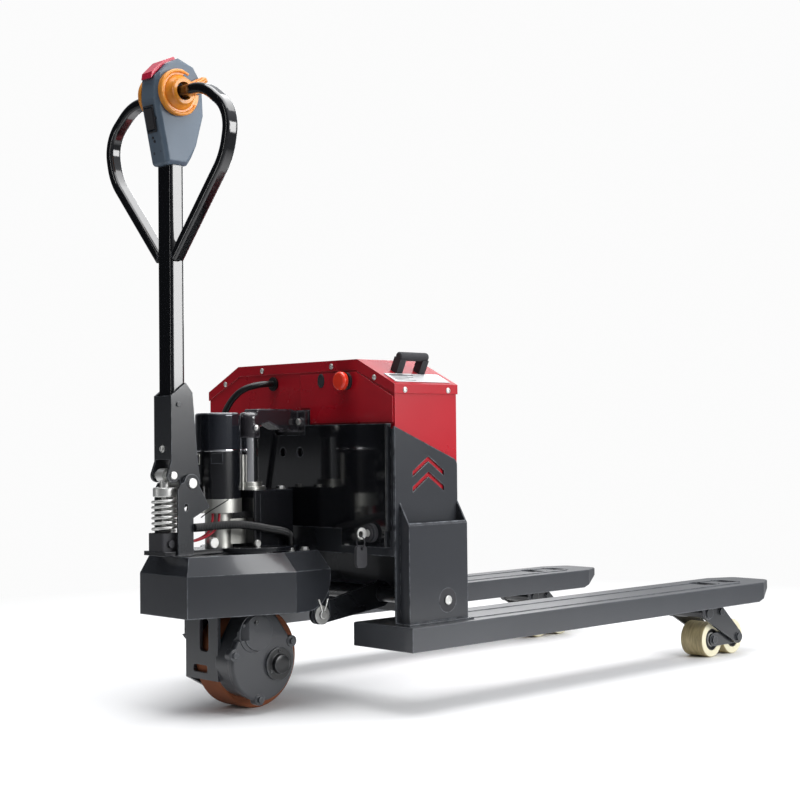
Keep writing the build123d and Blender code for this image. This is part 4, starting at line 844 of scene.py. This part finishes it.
@dataclass
class LinkPins:
    """Washer, pin end and split pin on each link pin."""

    x: float = -51.0
    y: float = 137.4
    z: float = 178.0
    washer: float = 17.0
    bore: float = 8.2
    pin: float = 7.9
    leg: float = 30.0
    leg_wire: float = 1.5
    leg_spread: float = 11.0

    def build(self) -> None:
        """Builds both sides."""
        rim = self.washer
        washer = ((0, self.bore), (0, rim), (0.6, rim + 0.3), (2.2, rim + 0.3), (2.8, rim - 0.4),
                  (2.8, self.bore), (0, self.bore))
        pin_end = ((2.6, 0), (2.6, self.pin), (6.2, self.pin), (7.2, self.pin - 1.3), (7.2, 0))
        for side in Side:
            seat = spot(self.x, side.value * self.y, self.z)
            piece = Piece("link_washer_" + side.name.lower())
            piece.turned(seat, side.out(), washer, 40)
            piece.turned(seat, side.out(), pin_end, 32)
            for lean in (-1, 1):
                tip = seat + side.out() * 5 * MM + Vector((lean * self.leg_spread * MM, 0, self.leg * MM))
                root = seat + side.out() * 5 * MM + Vector((lean * self.leg_wire * MM, 0, 5 * MM))
                piece.tube([root, root.lerp(tip, 0.5) + side.out() * MM, tip], self.leg_wire * MM, 10)
            piece.done("lift_rocker", "bright_zinc", ZINC)


@dataclass
class PinHeads:
    """Bright ends of the torsion shaft."""

    x: float = 111.0
    z: float = 205.0
    sink: float = 1.4
    profile: tuple = ((0, 0), (0, 8.8), (1.6, 8.8), (2.4, 8.0), (2.6, 5.4), (1.6, 4.6), (1.6, 0))

    def build(self) -> None:
        """Builds both ends as one piece."""
        caps = Piece("shaft_ends")
        for side in Side:
            seat = spot(self.x, 0, self.z)
            seat.y = side.face("lift_rocker")
            caps.turned(seat - side.out() * self.sink * MM, side.out(), self.profile, 36)
        caps.done("lift_rocker", "bright_zinc", ZINC)


@dataclass
class PumpUnit:
    """Small pieces on the pump, tank and bracket."""

    terminal_side: float = 168.0
    terminal_off: float = 42.6
    terminal_drop: float = 15.0
    terminal_half: tuple = (11.5, 10.5)
    terminal_rim: float = 2.6
    tie_radius: float = 44.8
    tie_wire: float = 1.1
    tie_start: tuple = (-176, 366)
    tie_step: tuple = (9, 4.2)
    tie_points: int = 9
    stud_foot: tuple = (-140, -12, 415)
    stud_radius: float = 4.2
    thread_depth: float = 0.9
    thread_pitch: float = 2.0
    thread_turns: int = 34
    plug_place: tuple = (-115, -22, 534)
    plug_profile: tuple = ((-1, 0), (-1, 6.6), (1.5, 6.4), (4.5, 5.0), (6.3, 2.6), (6.8, 0))
    flange_bolts: tuple = ((-14, -31, 546), (-14, 31, 546))
    flange_bolt: tuple = ((-1, 0), (-1, 6.2), (3, 6.2), (4, 5.2), (4, 0))
    seam_x: float = -128.0
    seam_heights: tuple = (312, 360, 407)
    seam_wire: float = 1.6
    fillers: tuple = ((-60, -30, 415), (-60, 30, 415))
    drains: tuple = (
        ((-232, -33, 320), 32, ((0, 0), (0, 10.5), (10, 10.5), (12, 9), (12, 0))),
        ((-136, -50, 314), 24, ((0, 0), (0, 7), (3, 7), (4, 6), (4, 0))),
    )

    def build(self) -> None:
        """Builds every piece."""
        self.cap_rim()
        self.connector()
        self.cable_tie()
        self.threaded_stud()
        self.bracket_fasteners()
        self.tank_details()

    @staticmethod
    def axis_x(name: str) -> float:
        """The X of a round node's axis."""
        low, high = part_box(name)
        return (low.x + high.x) / 2

    def cap_rim(self) -> None:
        """Bright rolled rim where the cap meets the motor."""
        low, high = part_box("motor_cap")
        r = (high.x - low.x) / 2 / MM
        rim = ((-1.2, r - 1), (-1.2, r + 0.1), (0.4, r + 0.5), (2, r + 0.1), (2, r - 1), (-1.2, r - 1))
        piece = Piece("cap_rim")
        piece.turned(Vector((self.axis_x("motor_cap"), 0, low.z)), Way.UP.vector(), rim, 64)
        piece.done("drive_unit", "dark_chrome", CHROME)

    def connector(self) -> None:
        """Terminal plate on the motor's side."""
        centre = Vector((self.axis_x("motor_cap"), 0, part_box("motor_cap")[0].z - self.terminal_drop * MM))
        angle = math.radians(self.terminal_side)
        away = Vector((math.cos(angle), math.sin(angle), 0))
        half_wide, half_tall = self.terminal_half
        piece = Piece("terminal_frame")
        piece.window(centre + away * self.terminal_off * MM, away.cross(Way.UP.vector()) * half_wide * MM,
                     Way.UP.vector() * half_tall * MM, self.terminal_rim * MM, away * 1.8 * MM, 0.0004)
        piece.done("drive_unit", "bare_aluminium", ALUMINIUM)

    def cable_tie(self) -> None:
        """Thin tie that crosses the pump's flange."""
        centre = Vector((self.axis_x("pump"), 0, 0))
        start, foot = self.tie_start
        swing, rise = self.tie_step
        points = []
        for step in range(self.tie_points):
            angle = math.radians(start + swing * step)
            out = Vector((math.cos(angle), math.sin(angle), 0)) * self.tie_radius * MM
            points.append(centre + out + Way.UP.vector() * (foot + rise * step) * MM)
        piece = Piece("cable_tie")
        piece.tube(points, self.tie_wire * MM, 8)
        piece.done("drive_unit", "rubber_black", RUBBER)

    def threaded_stud(self) -> None:
        """Threaded stud that stands between the motor and the ram."""
        crest, root = self.stud_radius, self.stud_radius - self.thread_depth
        profile = [(0, 0), (0, crest)]
        for turn in range(self.thread_turns):
            profile += [((turn + 0.5) * self.thread_pitch, root), ((turn + 1) * self.thread_pitch, crest)]
        profile.append((self.thread_turns * self.thread_pitch, 0))
        piece = Piece("tank_stud")
        piece.turned(spot(*self.stud_foot), Way.UP.vector(), tuple(profile), 20)
        piece.done("drive_unit", "bare_aluminium", ALUMINIUM)

    def bracket_fasteners(self) -> None:
        """Bright ball plug on the boss and bolts in the flange."""
        piece = Piece("bracket_plug")
        piece.turned(spot(*self.plug_place), Way.RIGHT.vector(), self.plug_profile, 28)
        for place in self.flange_bolts:
            piece.turned(spot(*place), Way.FRONT.vector(), self.flange_bolt, 24)
        piece.done("chassis", "bright_zinc", ZINC)

    def tank_details(self) -> None:
        """Seam bead, filler and drain fittings of the oil tank."""
        bead = Piece("tank_seam")
        corner = spot(self.seam_x, 0, 0)
        corner.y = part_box("oil_tank")[0].y
        bead.tube([corner + Way.UP.vector() * z * MM for z in self.seam_heights], self.seam_wire * MM, 10)
        bead.done("drive_unit", "pump_black", PUMP_BLACK)
        fittings = Piece("tank_fittings")
        for place in self.fillers:
            fittings.hexagon(spot(*place), Way.UP.vector(), 13, 5)
        for place, steps, profile in self.drains:
            fittings.turned(spot(*place), Way.RIGHT.vector(), profile, steps)
        fittings.done("drive_unit", "bright_zinc", ZINC)


@dataclass
class StrutSpring:
    """Tiller spring: its lower coils stand on the foot and its upper coils follow the strut's cap."""

    x: float = -312.0
    radius: float = 22.0
    wire: float = 6.0
    bottom: float = 344.3
    top: float = 403.7
    coils: int = 6
    steps: int = 28

    def coil(self, name: str, first: int, last: int) -> Piece:
        """Builds the coils from one number to another.

        Args:
            name: the piece's name.
            first: coil that it starts with.
            last: coil that it ends before.

        Returns:
            The piece.
        """
        points = []
        for step in range(first * self.steps, last * self.steps + 1):
            turn = step / self.steps
            rise = self.bottom + (self.top - self.bottom) * turn / self.coils
            angle = math.tau * turn
            points.append(spot(self.x + self.radius * math.cos(angle), self.radius * math.sin(angle), rise))
        piece = Piece(name)
        piece.tube(points, self.wire / 2 * MM, 14)
        return piece

    def build(self) -> None:
        """Builds both halves."""
        half = self.coils // 2
        lower = self.coil("spring_lower", 0, half).done("drive_unit", "bright_zinc", ZINC, 60.0)
        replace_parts(lower, "tiller_spring")
        self.coil("spring_upper", half, self.coils).done("strut", "bright_zinc", ZINC, 60.0)


@dataclass
class Tiller:
    """Fasteners and marks on the tiller."""

    throttle_x: float = -298.0
    throttle_z: float = 1155.0
    paddle_face: float = 34.6
    paddle_radius: float = 40.0
    rim_start: float = 62.0
    rim_sweep: float = 268.0
    rim_steps: int = 40
    rim_wire: float = 3.4
    rim_end_wire: float = 2.4
    cup: tuple = ((0, 23.4), (0, 33), (3, 31.5), (7, 27.5), (12, 25.2), (15.4, 24.6), (15.9, 23.4), (0, 23.4))
    wing_root: tuple = (26, 12)
    wing_tip: tuple = (56, 31)
    wing_wire: float = 5.5
    bezel_place: tuple = (-337.6, 0, 1105)
    bezel_lean: float = 12.0
    bezel_half: tuple = (14.2, 25)
    bezel_rim: float = 2.4
    marks: tuple = ((34, 4), (41, 1))
    mark_profile: tuple = ((0, 0), (0, 2.6), (1.4, 2.6), (1.9, 2.0), (1.9, 0))
    bolt_place: tuple = (-316, 0, 496)
    head_screws: tuple = ((-323.7, 9, 1044), (-323.7, -12, 1046))
    head_lean: float = 0.18

    def build(self) -> None:
        """Builds every piece."""
        self.web_bolt()
        self.head_marks()
        for side in Side:
            self.paddle(side)
        self.rocker_bezel()

    def paddle(self, side: Side) -> None:
        """Rolled rim, raised cup and wing on one paddle of the throttle."""
        centre = spot(self.throttle_x, side.value * self.paddle_face, self.throttle_z)
        points = []
        for step in range(self.rim_steps + 1):
            angle = math.radians(self.rim_start + self.rim_sweep * step / self.rim_steps)
            out = Vector((math.cos(angle), 0, math.sin(angle)))
            points.append(centre + out * self.paddle_radius * MM + side.out() * 1.2 * MM)
        piece = Piece("paddle_rim_" + side.name.lower())
        piece.tube(points, self.rim_radius, 12)
        piece.turned(centre, side.out(), self.cup, 48)
        root, tip = (centre + Vector((x * MM, 0, z * MM)) for x, z in (self.wing_root, self.wing_tip))
        wing = [root, root.lerp(tip, 0.5) + side.out() * 3 * MM, tip + side.out() * 5 * MM]
        piece.tube(wing, self.wing_wire * MM, 14)
        piece.done("throttle", "paddle_orange", PADDLE)

    def rim_radius(self, index: int) -> float:
        """Radius of a paddle's rim at one point, thinner at its ends."""
        inside = 2 < index < self.rim_steps - 2
        return (self.rim_wire if inside else self.rim_end_wire) * MM

    def rocker_bezel(self) -> None:
        """Raised frame round the rocker switch, with two marks under it."""
        piece = Piece("rocker_bezel")
        tilt = math.radians(self.bezel_lean)
        up = Vector((-math.sin(tilt), 0, math.cos(tilt)))
        out = Vector((-math.cos(tilt), 0, -math.sin(tilt)))
        across = Way.LEFT.vector()
        middle = spot(*self.bezel_place) + out * 1.2 * MM
        half_wide, half_tall = self.bezel_half
        piece.window(middle, across * half_wide * MM, up * half_tall * MM, self.bezel_rim * MM,
                     out * 1.6 * MM, 0.0005)
        for drop, shift in self.marks:
            place = middle - up * drop * MM + across * shift * MM - out * 1.6 * MM
            piece.turned(place, out, self.mark_profile, 16)
        piece.done("tiller", "tiller_black", MOULDED)

    def web_bolt(self) -> None:
        """Bolt through the channel's front web."""
        piece = Piece("channel_bolt")
        piece.hexagon(spot(*self.bolt_place), Way.FRONT.vector(), 9, 3.5)
        piece.done("tiller", "bright_zinc", ZINC)

    def head_marks(self) -> None:
        """Recessed cover screws low on the head."""
        piece = Piece("head_screws")
        axis = Vector((-math.cos(self.head_lean), 0, -math.sin(self.head_lean)))
        for place in self.head_screws:
            piece.socket_head(spot(*place), axis, 6, 1.4)
        piece.done("tiller", "bright_zinc", MOULDED)


@dataclass
class DriveUnit:
    """Fasteners and raised marks of the gear case."""

    cover_y: float = -96.0
    axle: tuple = (-125, 90)
    axle_cap: tuple = ((0, 17.4), (0, 31), (4.2, 31), (5.2, 30), (5.2, 19), (13.6, 17.6), (14.6, 15),
                       (15.4, 8), (15.4, 0))
    ring_place: tuple = (-180, 152)
    ring: tuple = ((0, 34), (0, 36.5), (1.6, 36), (1.6, 34.4), (0, 34))
    marks: tuple = ((-205, 168), (-160, 158))
    mark: tuple = ((0, 0), (0, 3.2), (1.0, 3.0), (1.0, 1.8), (0.2, 0))
    screw_circle: float = 24.0
    screw_angles: tuple = (90, 210, 330)
    screw_seat: float = 5.0
    filler: tuple = (-178, 172)

    def on_cover(self, x: float, z: float, proud: float = 0.0) -> Vector:
        """A point on the gear cover's face, or standing out from it, all in millimetres."""
        return spot(x, self.cover_y - proud, z)

    def build(self) -> None:
        """Builds every piece."""
        cap = Piece("axle_cap")
        cap.turned(self.on_cover(*self.axle, 0.3), Way.RIGHT.vector(), self.axle_cap, 48)
        cap.done("drive_unit", "gear_grey", CAST_BLACK)
        outline = Piece("gear_cap_outline")
        outline.turned(self.on_cover(*self.ring_place), Way.RIGHT.vector(), self.ring, 48)
        for place in self.marks:
            outline.turned(self.on_cover(*place), Way.RIGHT.vector(), self.mark, 16)
        outline.done("drive_unit", "gear_grey", CASTING)
        self.cover_screws()

    def cover_screws(self) -> None:
        """Screws round the axle cap, and the filler plug's head."""
        piece = Piece("gear_case_screws")
        for angle in self.screw_angles:
            x = self.axle[0] + self.screw_circle * math.cos(math.radians(angle))
            z = self.axle[1] + self.screw_circle * math.sin(math.radians(angle))
            piece.socket_head(self.on_cover(x, z, self.screw_seat), Way.RIGHT.vector(), 7, 3)
        piece.hexagon(self.on_cover(*self.filler), Way.RIGHT.vector(), 8, 5)
        piece.done("drive_unit", "gear_grey", CAST_BLACK)


# -------------------------------------------------------------------- studio


@dataclass
class Studio:
    """Floor, lights, surroundings and camera."""

    eye: tuple = (-1917.65, -2300.99, 509.58)
    yaw: float = 46.037
    pitch: float = 1.484
    roll: float = -0.579
    lens: float = 67.43
    shift: tuple = (-0.00375, 0.0004)
    sensor: float = 36.0
    floor_size: float = 40.0
    floor_drop: float = 0.0005
    backdrop: tuple = (0.97, 0.97, 0.97, 1.0)
    lamps: tuple = (
        ("overhead", (0.0, -0.2, 3.4), (0.0, 0.0, 0.2), (3.6, 3.0), 125.0),
        ("right_softbox", (0.9, -3.6, 1.5), (-0.1, 0.0, 0.3), (2.4, 1.6), 118.0),
        ("front_strip", (-3.2, 1.2, 1.2), (-0.6, 0.0, 0.6), (0.3, 2.4), 10.0),
        ("back_fill", (2.2, 2.6, 1.8), (0.0, 0.0, 0.4), (2.0, 1.6), 34.0),
    )

    def build(self) -> None:
        """Builds all of it."""
        self.floor()
        self.surroundings()
        for settings in self.lamps:
            self.lamp(*settings)
        self.camera()
        bpy.context.scene.view_settings.view_transform = "Standard"

    def floor(self) -> None:
        """Plain pale floor that runs out into the background."""
        bm = bmesh.new()
        bmesh.ops.create_grid(bm, x_segments=2, y_segments=2, size=self.floor_size)
        bmesh.ops.translate(bm, verts=bm.verts, vec=(0.0, 0.0, -self.floor_drop))
        mesh = bpy.data.meshes.new("studio_floor")
        bm.to_mesh(mesh)
        bm.free()
        made = bpy.data.objects.new("studio_floor", mesh)
        bpy.context.scene.collection.objects.link(made)
        mesh.materials.append(self.floor_paint())

    def floor_paint(self) -> bpy.types.Material:
        """Matt paint near the truck, and the background's own light further out."""
        material = bpy.data.materials.new("floor_paint")
        material.use_nodes = True
        shading = Shading(material.node_tree)
        where = shading.node("TexCoord").outputs["Object"]
        distance = shading.node("VectorMath", {0: where}, operation="LENGTH").outputs["Value"]
        paint = shading.node("BsdfPrincipled", {"Base Color": (0.9, 0.9, 0.9, 1.0), "Roughness": 0.75})
        seen = shading.node("LightPath").outputs["Is Camera Ray"]
        far = shading.mix(seen, (0.22, 0.225, 0.235, 1.0), self.backdrop)
        glow = shading.node("Emission", {"Color": far, "Strength": 1.0})
        fade = shading.ramp(distance, 0.7, 2.2)
        blend = shading.node("MixShader", {0: fade, 1: paint.outputs[0], 2: glow.outputs[0]})
        shading.node("OutputMaterial", {"Surface": blend.outputs[0]})
        return material

    def surroundings(self) -> None:
        """Light that is bright above and at the right, and dim in front; the camera sees it plain."""
        world = bpy.data.worlds.new("studio")
        world.use_nodes = True
        bpy.context.scene.world = world
        shading = Shading(world.node_tree)
        toward = shading.node("TexCoord").outputs["Generated"]
        front = shading.node("VectorMath", {0: toward, 1: (-0.88, 0.3, -0.15)}, operation="DOT_PRODUCT")
        dim = shading.ramp(front.outputs["Value"], -0.2, 0.6)
        height = shading.node("SeparateXYZ", {0: toward}).outputs[2]
        rise = shading.ramp(height, 0.0, 0.7)
        wall = shading.mix(rise, (0.26, 0.265, 0.275, 1.0), (0.75, 0.77, 0.81, 1.0))
        glow = shading.mix(dim, wall, (0.02, 0.021, 0.024, 1.0))
        seen = shading.node("LightPath").outputs["Is Camera Ray"]
        colour = shading.mix(seen, glow, self.backdrop)
        background = shading.node("Background", {"Color": colour, "Strength": 1.0})
        shading.node("OutputWorld", {"Surface": background.outputs[0]})

    def lamp(self, name: str, place: tuple, aim: tuple, size: tuple, power: float) -> None:
        """Adds one soft light.

        Args:
            name: its name.
            place: where it is, in metres.
            aim: the point that it faces.
            size: width and height.
            power: watts.
        """
        light = bpy.data.lights.new(name, "AREA")
        light.shape = "RECTANGLE"
        light.size, light.size_y = size
        light.energy = power
        lamp = bpy.data.objects.new(name, light)
        bpy.context.scene.collection.objects.link(lamp)
        lamp.location = place
        lamp.rotation_euler = (Vector(aim) - Vector(place)).to_track_quat("-Z", "Y").to_euler()

    def camera(self) -> None:
        """Camera at a low three-quarter view from the front right."""
        yaw, pitch, roll = (math.radians(a) for a in (self.yaw, self.pitch, self.roll))
        ahead = Vector((math.cos(yaw) * math.cos(pitch), math.sin(yaw) * math.cos(pitch), math.sin(pitch)))
        right = Vector((math.sin(yaw), -math.cos(yaw), 0.0))
        up = right.cross(ahead)
        turned_right = right * math.cos(roll) + up * math.sin(roll)
        turned_up = up * math.cos(roll) - right * math.sin(roll)
        lens = bpy.data.cameras.new("camera")
        lens.lens = self.lens
        lens.sensor_width = self.sensor
        lens.shift_x, lens.shift_y = self.shift
        camera = bpy.data.objects.new("camera", lens)
        bpy.context.scene.collection.objects.link(camera)
        camera.matrix_world = (Matrix.Translation(spot(*self.eye))
                               @ Matrix((turned_right, turned_up, -ahead)).transposed().to_4x4())
        bpy.context.scene.camera = camera


def main() -> None:
    """Builds the looks round the frame, in order."""
    logging.basicConfig(level=logging.INFO, format="%(name)s: %(message)s")
    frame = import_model()
    grain_group()
    wear_and_highlight_group()
    zones_group()
    dress_nodes(frame)
    Studio().build()
    for part in (PowerCable(), Harness(), BatteryBox(), Guard(), LinkPins(), PinHeads(), PumpUnit(),
                 StrutSpring(), Tiller(), DriveUnit()):
        part.build()
        LOG.info("%s is built", type(part).__name__)


if __name__ == "__main__":
    main()
